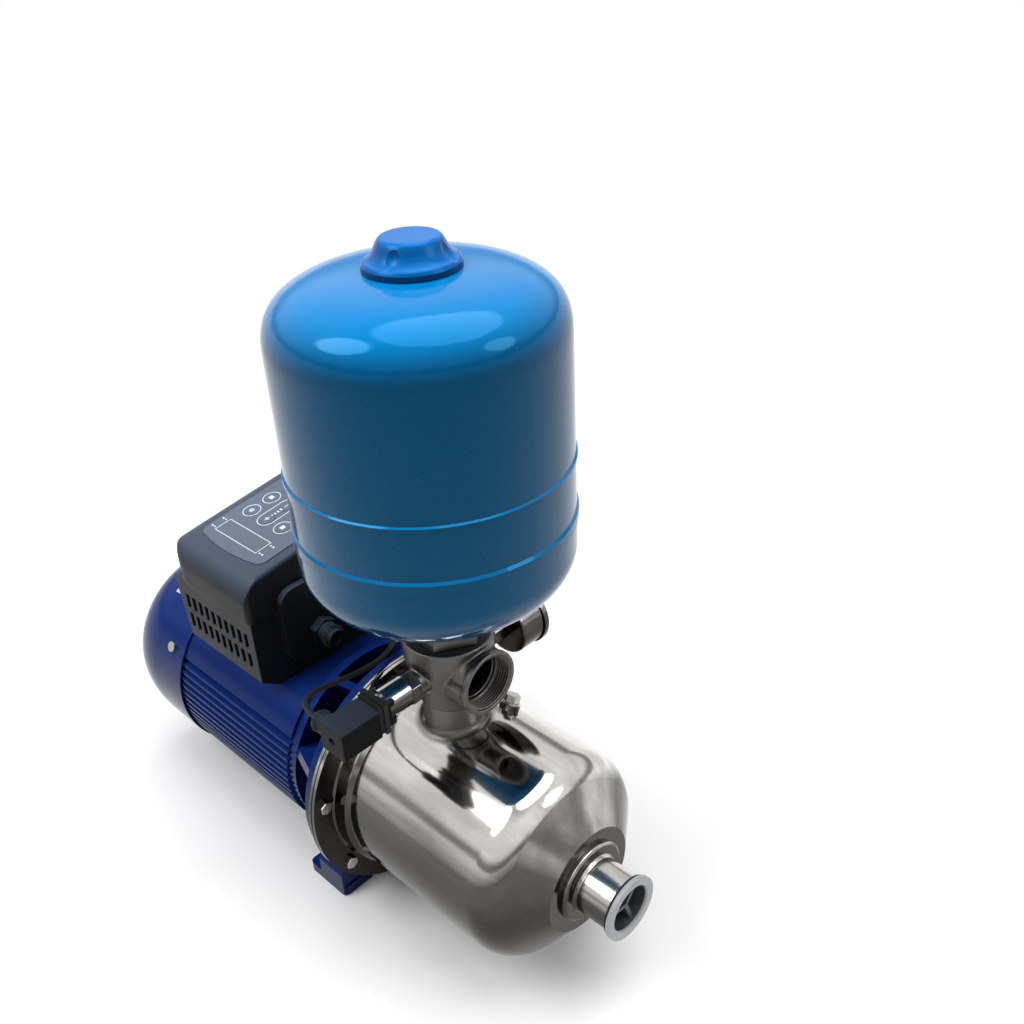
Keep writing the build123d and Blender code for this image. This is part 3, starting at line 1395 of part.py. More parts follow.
def lid_block(inset):
    """The lid's outer volume, or its inside when set in by the wall thickness."""
    tilt = math.radians(LID_TILT)
    half = LID_HALF_W - inset
    top = LID_TOP - inset / math.cos(tilt)
    rise = half * math.tan(tilt)
    rear, front = LID_REAR + inset, LID_FRONT - inset
    low = SEAM_Z - (1 if inset else 0)
    across = make_face(Polyline([
        (-half, low), (half, low), (half, top + rise), (-half, top - rise),
    ], close=True))
    upper = [v for v in across.vertices() if v.Y > low + 1]
    across = fillet(upper, LID_SIDE_ROUND - inset)
    back, nose = LID_REAR_ROUND - inset, LID_FRONT_ROUND - inset
    under = low - 2 * rise
    along = make_face([
        Line((rear, under), (rear, top - back)),
        RadiusArc((rear, top - back), (rear + back, top), back),
        Line((rear + back, top), (front - nose, top)),
        RadiusArc((front - nose, top), (front, top - nose), nose),
        Line((front, top - nose), (front, under)),
        Line((front, under), (rear, under)),
    ])
    volume = extrude(Plane.YZ.offset(rear) * across, front - rear)
    span = extrude(Pos(0, -half, -rise) * (Plane.XZ * along), 2 * half / math.cos(tilt),
                   dir=(0, math.cos(tilt), math.sin(tilt)))
    plan = block(rear, front, -half, half, low, top + 2 * rise)
    rear_edges = plan.edges().filter_by(Axis.Z).group_by(Axis.X)[0]
    plan = fillet(rear_edges, LID_CORNER - inset)
    front_edges = plan.edges().filter_by(Axis.Z).group_by(Axis.X)[-1]
    plan = fillet(front_edges, LID_FRONT_CORNER - inset)
    return volume & span & plan


def key_points():
    left_x, right_x = KEY_MID_X - KEY_COLUMN, KEY_MID_X + KEY_COLUMN
    return {
        "key_run": (left_x, KEY_ROW_1),
        "key_mode": (left_x, KEY_ROW_2),
        "key_stop": (right_x, KEY_ROW_1),
        "key_set": (right_x, KEY_ROW_2),
        "key_plus": (KEY_MID_X, KEY_ROW_1),
        "key_minus": (KEY_MID_X, KEY_ROW_2),
    }


def controller_lid():
    lid = lid_block(0) - lid_block(LID_WALL)
    for x, y in key_points().values():
        lid -= on_lid(rod((x, y, -KEY_POCKET), (0, 0, 1), KEY_R + KEY_GAP, 2 * KEY_POCKET))
    lid -= tongue(0.2, BOX_FRONT - 2, TONGUE_FRONT + 1)
    for y in (-LID_POST_Y, LID_POST_Y):
        for x in (KEYPAD_X - LID_POST_X, KEYPAD_X + LID_POST_X):
            post = rod((x, y, -DISPLAY_BOARD_DEPTH), (0, 0, 1), LID_POST_R,
                       DISPLAY_BOARD_DEPTH - LID_WALL / 2)
            lid += on_lid(post)
    return lid


def keypad_overlay():
    x0, x1 = KEYPAD_X - KEYPAD_HALF_L, KEYPAD_X + KEYPAD_HALF_L
    sheet = make_face([
        ThreePointArc((x0, KEYPAD_LEFT), (KEYPAD_X, KEYPAD_LEFT - KEYPAD_BOW), (x1, KEYPAD_LEFT)),
        Line((x1, KEYPAD_LEFT), (x1, KEYPAD_RIGHT)),
        Line((x1, KEYPAD_RIGHT), (x0, KEYPAD_RIGHT)),
        Line((x0, KEYPAD_RIGHT), (x0, KEYPAD_LEFT)),
    ])
    sheet = extrude(sheet, KEYPAD_T)
    sheet = fillet(sheet.edges().filter_by(Axis.Z), KEYPAD_CORNER)
    for x, y in key_points().values():
        sheet -= rod((x, y, -1), (0, 0, 1), KEY_R + KEY_GAP, 3)
    return on_lid(sheet)


def key(x, y):
    top = KEYPAD_T + KEY_PROUD
    return on_lid(rod((x, y, top - KEY_T), (0, 0, 1), KEY_R, KEY_T))


def controller_glands():
    glands = []
    upright = (Align.CENTER, Align.CENTER, Align.MIN)
    inside = BOX_FRONT - BOX_WALL
    nut = ENTRY_L - ENTRY_HEX_L
    for y in (MAINS_Y, SIGNAL_Y):
        gland = hexagon((TONGUE_FRONT, y, ENTRY_Z), (1, 0, 0), ENTRY_HEX_AF, ENTRY_HEX_L)
        dome_nut = Cone(ENTRY_R, ENTRY_TIP_R, nut, align=upright)
        gland += Plane(origin=(TONGUE_FRONT + ENTRY_HEX_L, y, ENTRY_Z), z_dir=(1, 0, 0)) * dome_nut
        gland += rod((inside, y, ENTRY_Z), (1, 0, 0), ENTRY_SHANK_R, TONGUE_FRONT - inside)
        glands.append(gland)
    glands[0] -= rod((inside - 1, MAINS_Y, ENTRY_Z), (1, 0, 0), MAINS_BORE_R, 2 * ENTRY_L)
    return group(glands)


def heat_sink():
    floor = PAD_TOP + BOX_WALL
    top = floor + SINK_T
    sink = block(SINK_REAR, SINK_FRONT, -SINK_HALF_W, SINK_HALF_W, floor, top)
    pitch = (SINK_FRONT - SINK_REAR - SINK_FIN_T) / (SINK_FIN_COUNT - 1)
    for i in range(SINK_FIN_COUNT):
        x = SINK_REAR + i * pitch
        for y0, y1 in ((-SINK_HALF_W, -SINK_FIN_IN_Y), (SINK_FIN_IN_Y, SINK_HALF_W)):
            sink += block(x, x + SINK_FIN_T, y0, y1, top - 1, top + SINK_FIN_H)
    return sink - wire_window(floor - 1, top + 1)


def power_board_z():
    return PAD_TOP + BOX_WALL + SINK_T + SINK_FIN_H


def circuit_boards():
    """Power board on the heat sink and display board under the lid."""
    low = power_board_z()
    top = low + BOARD_T
    rear, front = SINK_REAR - POWER_BOARD_EDGE, SINK_FRONT + POWER_BOARD_EDGE
    power = block(rear, front, -POWER_BOARD_HALF_W, POWER_BOARD_HALF_W, low, top)
    for i in range(-1, 2):
        power += rod((CAN_X, i * CAN_PITCH, top), (0, 0, 1), CAN_R, CAN_H)
        power += rod((CHOKE_X, i * CHOKE_PITCH, top), (0, 0, 1), CHOKE_R, CHOKE_H)
        power -= rod((CHOKE_X, i * CHOKE_PITCH, top), (0, 0, 1), CHOKE_HOLE_R, CHOKE_H)
    x0, x1 = KEYPAD_X - DISPLAY_BOARD_HALF_L, KEYPAD_X + DISPLAY_BOARD_HALF_L
    half = DISPLAY_BOARD_HALF_W
    display = block(x0, x1, -half, half, -DISPLAY_BOARD_DEPTH - BOARD_T, -DISPLAY_BOARD_DEPTH)
    return group([power, on_lid(display)])


def build():
    pieces = {
        "motor_frame": motor_frame(),
        "stator_core": stator_core(),
        "stator_windings": stator_windings(),
        "rotor_core": rotor_core(),
        "shaft": shaft(),
        "shaft_bearings": shaft_bearings(),
        "rear_end_shield": rear_end_shield(),
        "fan_cover": fan_cover(),
        "fan_cover_screws": fan_cover_screws(),
        "cooling_fan": cooling_fan(),
        "motor_bracket": motor_bracket(),
        "motor_screws": motor_screws(),
        "foot": foot(),
        "foot_screws": foot_screws(),
        "seal_cover": seal_cover(),
        "casing_gasket": casing_gasket(),
        "seal_seat": seal_seat(),
        "seal_rotor": seal_rotor(),
        "pump_casing": pump_casing(),
        "casing_plugs": casing_plugs(),
        "casing_bolts": casing_bolts(),
        "inlet_socket": inlet_socket(),
        "inlet_plug": inlet_plug(),
        "inlet_seal": inlet_seal(),
        "stage_chambers": stage_chambers(),
        "impellers": impellers(),
        "shaft_spacers": shaft_spacers(),
        "impeller_nut": impeller_nut(),
        "discharge_ring": discharge_ring(),
        "suction_ring": suction_ring(),
        "five_way_fitting": five_way_fitting(),
        "tank_adaptor": tank_adaptor(),
        "tank_lower_shell": tank_lower_shell(),
        "tank_upper_shell": tank_upper_shell(),
        "tank_diaphragm": tank_diaphragm(),
        "air_valve": air_valve(),
        "tank_cap": tank_cap(),
        "transmitter_body": transmitter_body(),
        "connector_seal": connector_seal(),
        "connector_housing": connector_housing(),
        "connector_gland": connector_gland(),
        "signal_cable": signal_cable(),
        "gauge_stem": gauge_stem(),
        "gauge_case": gauge_case(),
        "gauge_dial": gauge_dial(),
        "gauge_pointer": gauge_pointer(),
        "gauge_bezel": gauge_bezel(),
        "gauge_window": gauge_window(),
        "controller_base": controller_base(),
        "controller_lid": controller_lid(),
        "controller_glands": controller_glands(),
        "heat_sink": heat_sink(),
        "circuit_boards": circuit_boards(),
        "keypad_overlay": keypad_overlay(),
    }
    for name, (x, y) in key_points().items():
        pieces[name] = key(x, y)
    for name, shape in pieces.items():
        save(shape, name)


build()
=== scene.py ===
import json
import math

import bpy
from mathutils import Matrix, Vector

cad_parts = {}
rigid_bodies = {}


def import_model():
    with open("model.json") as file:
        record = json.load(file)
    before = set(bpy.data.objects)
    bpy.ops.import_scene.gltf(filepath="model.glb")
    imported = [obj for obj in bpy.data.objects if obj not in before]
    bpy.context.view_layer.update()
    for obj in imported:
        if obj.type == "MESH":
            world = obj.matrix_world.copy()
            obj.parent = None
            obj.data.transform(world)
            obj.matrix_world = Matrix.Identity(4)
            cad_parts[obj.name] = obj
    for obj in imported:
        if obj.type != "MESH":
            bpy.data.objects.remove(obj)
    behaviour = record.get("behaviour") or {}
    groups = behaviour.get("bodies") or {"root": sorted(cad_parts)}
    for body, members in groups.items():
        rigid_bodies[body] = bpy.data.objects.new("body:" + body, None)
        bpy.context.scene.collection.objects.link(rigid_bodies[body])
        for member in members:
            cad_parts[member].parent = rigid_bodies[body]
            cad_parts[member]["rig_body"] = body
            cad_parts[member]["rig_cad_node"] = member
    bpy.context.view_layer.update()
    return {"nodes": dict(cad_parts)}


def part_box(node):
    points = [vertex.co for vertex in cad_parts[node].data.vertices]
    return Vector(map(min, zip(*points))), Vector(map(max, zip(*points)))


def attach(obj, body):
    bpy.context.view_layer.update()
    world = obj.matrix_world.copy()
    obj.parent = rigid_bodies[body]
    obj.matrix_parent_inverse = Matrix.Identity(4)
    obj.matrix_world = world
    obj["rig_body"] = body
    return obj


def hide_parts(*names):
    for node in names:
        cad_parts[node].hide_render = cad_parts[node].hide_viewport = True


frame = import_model()

bl_info = {
    "name": "Booster pump",
    "version": (1, 0, 0),
    "blender": (4, 5, 0),
    "location": "View3D > Sidebar > Booster pump",
    "description": "Fine shapes and finishes for a booster pump set",
    "category": "Object",
}

# Places on the pump, in metres
SHAFT_Z = 0.113
OUTLET_X = 0.1145
PORT_Z = 0.2526
PORT_END = 0.1585
PORT_BORE = 0.0224
LID_TILT = math.radians(8.5)
LID_MID = (0.0165, 0.0, 0.3085)
# The controller's two cable entries lie at the same distance to both sides of the shaft
ENTRY_X, ENTRY_Y, ENTRY_Z = -0.0185, 0.020, 0.225
GLAND_Z = 0.241
SIGNAL_CABLE = (
    (0.0795, -0.102, GLAND_Z), (0.0645, -0.102, GLAND_Z), (0.0525, -0.0945, 0.239),
    (0.0465, -0.082, 0.2365), (0.0475, -0.057, 0.2315), (0.0485, -0.020, 0.2275),
    (0.0365, 0.008, 0.2255), (0.0165, ENTRY_Y, ENTRY_Z), (-0.0055, ENTRY_Y, ENTRY_Z),
)

# Where one piece changes its finish
NECK_FOOT_R, NECK_FADE, NECK_FOOT_Z = 0.0330, 0.0060, 0.080
FLANGE_FACE_X, FLANGE_STEP_R, FLANGE_RIM_R = 0.0262, 0.0885, 0.1072
CUP_R, CUP_MOUTH_X = 0.0190, 0.2915
LABEL_REAR_X, LABEL_FRONT_X, LABEL_HALF_Y, LABEL_LOWEST_Z = -0.2235, -0.188, 0.050, 0.12

# Keypad prints, in millimetres from the middle of the lid
DISPLAY_X, DISPLAY_Y, DISPLAY_HALF_X, DISPLAY_HALF_Y = -106.5, -41.5, 29.5, 8.0
KEY_LEFT_X, KEY_MID_X, KEY_RIGHT_X = -130.0, -107.5, -85.0
KEY_ROW_1_Y, KEY_ROW_2_Y = -15.0, 6.5
KEY_RING_R, KEY_LINE = 7.9, 0.4
LED_ROWS_Y = (-47.5, -36.0)

# Gauge
DIAL_START, DIAL_SWEEP = math.radians(-135), math.radians(270)
DIAL_PAST = math.radians(136)
DIAL_STEPS = 50.0
DIAL_TRACK_R, DIAL_TICK_R, DIAL_LONG_TICK_R, DIAL_FIGURE_R = 0.0196, 0.0178, 0.0160, 0.0130

# Studio: name, place, target, width in metres, power in watts
LAMPS = (
    ("key light", (-0.9, -1.9, 2.9), (0.05, 0, 0.25), 1.9, 64),
    ("fill light", (2.4, 1.0, 1.9), (0.1, 0, 0.25), 1.2, 16),
    ("top light", (0.3, 0.4, 3.2), (0, 0, 0.2), 2.8, 66),
)
FLOOR_SIZE, FLOOR_DROP = 80.0, 0.0005
PAPER_R, PAPER_FADE = 0.55, 1.1
# Grey levels by height above the horizon
DIFFUSE_SKY = ((0.0, 0.34), (0.3, 0.36), (0.7, 0.72), (1.0, 0.72))
MIRRORED_SKY = (
    (0.0, 1.0), (0.07, 1.0), (0.13, 0.36), (0.20, 0.30), (0.31, 0.95), (0.8, 1.0), (1.0, 0.45))

CAMERA_PLACE = (0.62506, -0.42660, 0.77531)
CAMERA_TURN, CAMERA_TILT, CAMERA_ROLL = 45.48, 30.71, -3.12
CAMERA_LENS, CAMERA_SENSOR = 38.24, 36


# Sizes and colours that a user would change
def length(name, description, value):
    return bpy.props.FloatProperty(name=name, description=description, default=value,
                                   unit="LENGTH", precision=4, min=0.0)


def colour(name, description, value):
    return bpy.props.FloatVectorProperty(name=name, description=description, default=value,
                                         subtype="COLOR", size=3, min=0.0, max=1.0)


class PumpSizes(bpy.types.PropertyGroup):
    thread_pitch: length("Thread pitch", "Distance between crests of the outlet thread", 0.00231)
    edge: length("Edge", "Rounding of an edge, which each piece takes its own share of", 0.0006)
    cable: length("Cable diameter", "Diameter of the transmitter's cable", 0.0046)


class PumpColours(bpy.types.PropertyGroup):
    tank: colour("Tank", "Sky blue enamel of the tank", (0.0, 0.135, 0.36))
    cap: colour("Cap", "Blue plastic of the tank cap", (0.0, 0.12, 0.42))
    motor: colour("Motor", "Navy enamel of motor, bracket and foot", (0.004, 0.018, 0.115))
    controller: colour("Controller", "Black plastic of the controller", (0.0055, 0.006, 0.007))
    keypad: colour("Keypad", "Dark grey blue film of the keypad", (0.075, 0.100, 0.150))
    steel: colour("Steel", "Stainless steel", (0.42, 0.41, 0.395))


# Shader maths
class Signal:
    """A shader output that sums and comparisons can be written on."""

    def __init__(self, finish, socket):
        self.finish, self.socket = finish, socket

    def maths(self, operation, *values):
        return self.finish.node("Math", {"operation": operation}, *values)

    def __add__(self, other):
        return self.maths("ADD", self, other)

    def __sub__(self, other):
        return self.maths("SUBTRACT", self, other)

    def __rsub__(self, other):
        return self.maths("SUBTRACT", other, self)

    def __mul__(self, other):
        return self.maths("MULTIPLY", self, other)

    def __truediv__(self, other):
        return self.maths("DIVIDE", self, other)

    def __gt__(self, other):
        return self.maths("GREATER_THAN", self, other)

    def __lt__(self, other):
        return self.maths("LESS_THAN", self, other)

    def __abs__(self):
        return self.maths("ABSOLUTE", self)

    def above(self, other):
        return self.maths("MAXIMUM", self, other)

    def below(self, other):
        return self.maths("MINIMUM", self, other)

    def root(self):
        return self.maths("SQRT", self)

    __radd__ = __add__


class Finish:
    """One material, with its nodes added by name."""

    def __init__(self, name):
        self.material = bpy.data.materials.new(name)
        self.material.use_nodes = True
        self.tree = self.material.node_tree
        self.shader = self.tree.nodes["Principled BSDF"]
        self.place = self.node("TexCoord", output="Object")

    def node(self, kind, settings=None, *values, output=0, **named):
        made = self.tree.nodes.new("ShaderNode" + kind)
        for key, value in (settings or {}).items():
            setattr(made, key, value)
        for socket, value in [*enumerate(values), *named.items()]:
            self.feed(made.inputs[socket], value)
        return Signal(self, made.outputs[output])

    def feed(self, socket, value):
        if isinstance(value, Signal):
            self.tree.links.new(value.socket, socket)
        elif hasattr(value, "__len__") and len(value) == 3 and len(socket.default_value) == 4:
            socket.default_value = (*value, 1.0)
        else:
            socket.default_value = value

    def mix(self, factor, first, second):
        made = self.tree.nodes.new("ShaderNodeMix")
        made.data_type = "RGBA"
        for index, value in ((0, factor), (6, first), (7, second)):
            self.feed(made.inputs[index], value)
        return Signal(self, made.outputs[2])

    def noise(self, grain, detail=2.0, place=None):
        """Soft noise whose lumps are about grain metres across."""
        return self.node("TexNoise", None, Vector=place or self.place, Scale=0.5 / grain,
                         Detail=detail)

    def parts(self, centre=(0, 0, 0)):
        """The three distances from a point."""
        split = self.tree.nodes.new("ShaderNodeSeparateXYZ")
        self.feed(split.inputs[0], self.place)
        return [Signal(self, out) - c for out, c in zip(split.outputs, centre)]

    def turning(self, along, across, other, pitch):
        """Fine rings round an axis, as a lathe or polishing wheel leaves."""
        radius = (across * across + other * other).root()
        rings = self.node("CombineXYZ", None, along, radius, 0.0)
        return self.node("TexNoise", None, Vector=rings, Scale=0.5 / pitch, Detail=3.0)

    def upward(self, start, end):
        """0 below start and 1 above end, of how far a face looks up, from -1 to 1."""
        split = self.tree.nodes.new("ShaderNodeSeparateXYZ")
        self.feed(split.inputs[0], self.node("TexCoord", output="Normal"))
        return ((Signal(self, split.outputs[2]) - start) / (end - start)).above(0.0).below(1.0)

    def bumps(self, height, depth):
        return self.node("Bump", None, Height=height, Distance=depth)

    def surface(self, **sockets):
        for name, value in sockets.items():
            self.feed(self.shader.inputs[name.replace("_", " ")], value)
        return self.material


def scaled(colour_value, factor):
    return tuple(min(1.0, c * factor) for c in colour_value)


def enamel(name, base, tint, peel=0.0022, rough=0.07, shine=0.9, low=0.24, high=1.45, gloss=1.34,
           label=False):
    """Thick glossy paint with orange peel, cloudy marks and a few dust specks.

    low and high scale the colour of faces that look sideways and up, as painted shade on the sides
    and a painted highlight on top.
    """
    f = Finish(name)
    cloud = f.noise(0.06, 4)
    dust = f.noise(0.0006, 1) > 0.745
    # Painted shade on faces that look sideways and a painted highlight on faces that look up
    tone = f.mix(f.upward(0.1, 0.9), scaled(base, low), scaled(base, high))
    tone = f.mix(cloud * 0.35, tone, scaled(base, low))
    pale = tuple(c * 0.8 + 0.05 for c in base)
    wave = f.noise(peel, 2) + f.noise(peel * 9, 1) * 1.5
    tone = f.mix(dust * 0.3, tone, pale)
    if label:
        x, y, z = f.parts()
        sheet = (x > LABEL_REAR_X) * (x < LABEL_FRONT_X)
        sheet = sheet * (abs(y) < LABEL_HALF_Y) * (z > LABEL_LOWEST_Z)
        tone = f.mix(sheet, tone, (0.46, 0.46, 0.455))
    return f.surface(
        Base_Color=tone, Metallic=0.0,
        Roughness=cloud * 0.08 + dust * 0.3 + rough, Specular_IOR_Level=shine,
        IOR=gloss, Specular_Tint=tint, Normal=f.bumps(wave, 0.00004))


def moulded(name, base, rough=0.5, grain=0.0007, depth=0.00006, tint=(1, 1, 1), shine=0.5,
            dust_and_sky_sheen=0.0, low=1.0, gloss=1.45):
    """Moulded plastic with a spark-eroded grain, handling shine, and dust with a painted sky
    reflection on its top faces.
    """
    f = Finish(name)
    cloud = f.noise(0.035, 3)
    fine = f.noise(grain, 2)
    tone = f.mix(cloud, scaled(base, 0.8), scaled(base, 1.25))
    # Painted shade: with low below 1, faces that look sideways take a darker tone
    if low < 1.0:
        tone = f.mix(f.upward(0.1, 0.9), scaled(base, low), tone)
    # Top faces take a pale blue that is dust mixed with a painted sky reflection
    if dust_and_sky_sheen:
        dust_and_sky_sheen_mask = f.upward(0.12, 0.85) * (0.7 + cloud * 0.4) * dust_and_sky_sheen
        tone = f.mix(dust_and_sky_sheen_mask, tone, (0.10, 0.135, 0.20))
    return f.surface(
        Base_Color=tone, Specular_IOR_Level=shine, IOR=gloss, Specular_Tint=tint,
        Roughness=rough - cloud * 0.12 + fine * 0.08, Normal=f.bumps(fine, depth))


def polished(name, base, axis, rough=0.05, pitch=0.0005, centre=(0, 0, SHAFT_Z), neck=False):
    """Polished steel with the wheel's fine rings, smears and dull patches, painted shade
    underneath, a painted highlight on top and painted dark reflections in streaks.

    With neck, the outlet's neck and the flange are left dull: rougher, and darkened as painted
    shade.
    """
    f = Finish(name)
    x, y, z = f.parts(centre)
    rings = f.turning(x, y, z, pitch) if axis == "X" else f.turning(z, x, y, pitch)
    smear = f.noise(0.045, 5)
    drawn = f.noise(0.006, 3, f.node("Mapping", None, f.place, Scale=(0.12, 1.0, 1.0)))
    spots = f.noise(0.003, 2) > 0.70
    # A dark warm tone, used as painted shade underneath and for painted dark reflections
    dim = tuple(c * w for c, w in zip(base, (0.052, 0.049, 0.038)))
    # Painted shade darkens faces that look down and sideways, and a painted highlight brightens
    # faces that look up
    side = f.upward(-0.42, 0.58)
    tone = f.mix(side * side, dim, scaled(base, 0.40))
    tone = f.mix(f.upward(0.36, 0.60), tone, scaled(base, 1.95))
    # Streaks of the smear and drawn noise take the dark tone as painted dark reflections
    tone = f.mix((smear * 0.6 + drawn * 0.7 - 0.36).above(0.0), tone, dim)
    worn = smear * 0.08 + rings * 0.04 + spots * 0.05 + rough - 0.02
    if neck:
        away = ((x - OUTLET_X) * (x - OUTLET_X) + y * y).root()
        satin_and_painted_shade = ((NECK_FOOT_R - away) / NECK_FADE).above(0.0).below(1.0) * (z > NECK_FOOT_Z)
        radius = (y * y + z * z).root()
        satin_and_painted_shade = satin_and_painted_shade.above(
            (x < FLANGE_FACE_X) * (radius > FLANGE_STEP_R) * (radius < FLANGE_RIM_R))
        # The neck and flange take a darker tone as painted shade, and more roughness
        tone = f.mix(satin_and_painted_shade, tone, scaled(base, 0.27))
        worn = worn + satin_and_painted_shade * 0.28
    return f.surface(Base_Color=tone, Metallic=1.0, Roughness=worn,
                     Normal=f.bumps(rings + smear * 2.0 + drawn * 6.0, 0.000012))


def cast(name, base, rough=0.34, grain=0.0011):
    """Cast or blasted metal with grains, a cloudy tone, painted shade on the sides and a painted
    highlight on top.
    """
    f = Finish(name)
    cloud = f.noise(0.012, 4)
    fine = f.noise(grain, 4)
    # Painted shade on faces that look sideways and a painted highlight on faces that look up
    tone = f.mix(f.upward(0.0, 0.8), scaled(base, 0.75), scaled(base, 1.35))
    return f.surface(
        Base_Color=f.mix(cloud * 0.5, tone, scaled(base, 0.5)), Metallic=1.0,
        Roughness=cloud * 0.14 + fine * 0.12 + rough - 0.12, Normal=f.bumps(fine, 0.0001))


def plug_plastic(name, base, cup_painted_shade):
    """Milky plastic, with painted shade down inside the cup."""
    f = Finish(name)
    x, y, z = f.parts((0, 0, SHAFT_Z))
    # Painted shade: the inside of the cup takes a dark grey
    inside = ((y * y + z * z).root() < CUP_R) * (x < CUP_MOUTH_X)
    cloud = f.noise(0.01, 3)
    tone = f.mix(cloud, scaled(base, 0.88), scaled(base, 1.08))
    return f.surface(Base_Color=f.mix(inside, tone, cup_painted_shade), Roughness=0.36 + cloud * 0.1,
                     Normal=f.bumps(f.noise(0.001, 2), 0.00003))


def dial_paint(name, base, ink):
    """White dial plate with a printed scale of fine and long ticks on a track."""
    f = Finish(name)
    x, y, z = f.parts((OUTLET_X, 0, PORT_Z))
    radius = (x * x + z * z).root()
    turn = (0.0 - x).maths("ARCTAN2", 0.0 - x, z)
    step = (turn - DIAL_START) / DIAL_SWEEP * DIAL_STEPS
    # Half widths of the ticks, in steps and in tens of steps
    fine, bold = 0.13, 0.022

    def off_mark(count):
        """How far a count lies from the nearest whole number."""
        past = count + 0.5
        return abs(past.maths("FRACT", past) - 0.5)

    within = radius < DIAL_TRACK_R
    scale = (radius > DIAL_TICK_R) * within * (off_mark(step) < fine)
    scale = scale.above((radius > DIAL_LONG_TICK_R) * within * (off_mark(step / 10.0) < bold))
    scale = scale.above((radius > DIAL_TRACK_R - 0.0002) * (radius < DIAL_TRACK_R + 0.0001))
    scale = scale * (abs(turn) < DIAL_PAST)
    cloud = f.noise(0.01, 2)
    return f.surface(Base_Color=f.mix(scale, f.mix(cloud, scaled(base, 0.95), base), ink),
                     Roughness=0.45 + cloud * 0.05)


def plated(name, base):
    """Bright plated steel of screws and nuts."""
    f = Finish(name)
    cloud = f.noise(0.004, 3)
    return f.surface(Base_Color=f.mix(cloud, scaled(base, 0.75), scaled(base, 1.1)), Metallic=1.0,
                     Roughness=cloud * 0.2 + 0.12, Normal=f.bumps(f.noise(0.0006), 0.00002))


def rubber(name, base):
    """Dull black rubber with bloom."""
    f = Finish(name)
    bloom = f.noise(0.008, 4)
    return f.surface(Base_Color=f.mix(bloom, scaled(base, 0.8), scaled(base, 1.9)),
                     IOR=1.3, Roughness=bloom * 0.2 + 0.5,
                     Normal=f.bumps(f.noise(0.0008, 2), 0.00005))


def laminated(name, base):
    """Stacked thin sheets with edges across the shaft."""
    f = Finish(name)
    x, y, z = f.parts()
    sheets = f.node("TexNoise", {"noise_dimensions": "1D"}, W=x, Scale=1500.0, Detail=1.0)
    return f.surface(Base_Color=f.mix(sheets, scaled(base, 0.6), scaled(base, 1.2)), Metallic=1.0,
                     Roughness=sheets * 0.25 + 0.3, Normal=f.bumps(sheets, 0.00008))


def wound(name, base):
    """Varnished copper wire lying side by side."""
    f = Finish(name)
    strands = f.node("TexWave", {"bands_direction": "DIAGONAL"}, Vector=f.place, Scale=260.0,
                     Distortion=3.0, Detail=2.0)
    return f.surface(Base_Color=f.mix(strands, scaled(base, 0.4), base), Metallic=0.8,
                     Roughness=0.3 + strands * 0.15, Normal=f.bumps(strands, 0.0003))


def printed(name, base, ink):
    """Keypad film with its printed outlines, signs and display window."""
    f = Finish(name)
    x, y, z = (part * 1000.0 for part in f.parts(LID_MID))
    u, v = x, y * math.cos(LID_TILT) + z * math.sin(LID_TILT)

    def block(at_u, at_v, half_u, half_v):
        """How far outside a rectangle a point lies."""
        return (abs(u - at_u) - half_u).above(abs(v - at_v) - half_v)

    def ring(at_u, at_v, half_v, radius):
        """How far outside a circle, drawn out along v, a point lies."""
        past = (abs(v - at_v) - half_v).above(0.0)
        return ((u - at_u) * (u - at_u) + past * past).root() - radius

    display = block(DISPLAY_X, DISPLAY_Y, DISPLAY_HALF_X, DISPLAY_HALF_Y)
    lines = [abs(display) - 0.35, abs(ring(KEY_MID_X, -4.0, 11.0, 8.6)) - KEY_LINE]
    for at_u in (KEY_LEFT_X, KEY_RIGHT_X):
        for at_v in (KEY_ROW_1_Y, KEY_ROW_2_Y):
            lines.append(abs(ring(at_u, at_v, 0.0, KEY_RING_R)) - KEY_LINE)
    # Signs of the round keys, then plus and minus, then the dots between them
    for at_u, at_v, half_u, half_v in (
        (KEY_LEFT_X, KEY_ROW_1_Y, 0.5, 2.6), (KEY_LEFT_X + 1.6, KEY_ROW_1_Y, 0.5, 1.9),
        (KEY_LEFT_X - 1.6, KEY_ROW_1_Y, 0.5, 1.9), (KEY_LEFT_X, KEY_ROW_2_Y, 2.4, 2.0),
        (KEY_RIGHT_X, KEY_ROW_1_Y, 2.2, 2.2), (KEY_RIGHT_X, KEY_ROW_2_Y - 1.5, 2.4, 0.45),
        (KEY_RIGHT_X, KEY_ROW_2_Y, 2.4, 0.45), (KEY_RIGHT_X, KEY_ROW_2_Y + 1.5, 2.4, 0.45),
        (KEY_MID_X, KEY_ROW_1_Y, 2.6, 0.5), (KEY_MID_X, KEY_ROW_1_Y, 0.5, 2.6),
        (KEY_MID_X, KEY_ROW_2_Y, 0.5, 2.6),
    ):
        lines.append(block(at_u, at_v, half_u, half_v))
    for step in range(4):
        lines.append(block(KEY_MID_X, -9.5 + 3.2 * step, 0.7 + 0.35 * step, 0.8))
    for side in (-1, 1):
        for at_v in LED_ROWS_Y:
            lines.append(ring(DISPLAY_X + side * 33.0, at_v, 0.0, 0.9))
            lines.append(block(DISPLAY_X + side * 36.6, at_v, 1.1, 0.8))
    drawn = lines[0]
    for line in lines[1:]:
        drawn = drawn.below(line)
    inked = drawn < 0.0
    window = display < 0.0
    weave = f.noise(0.0005, 2)
    cloud = f.noise(0.03, 3)
    tone = f.mix(cloud, scaled(base, 0.85), scaled(base, 1.2))
    tone = f.mix(window * 0.6, tone, (0.085, 0.105, 0.15))
    return f.surface(
        Base_Color=f.mix(inked, tone, ink), Roughness=0.36 - window * 0.12 + cloud * 0.06,
        Specular_IOR_Level=0.6, Normal=f.bumps(weave - inked * 0.4, 0.00001))


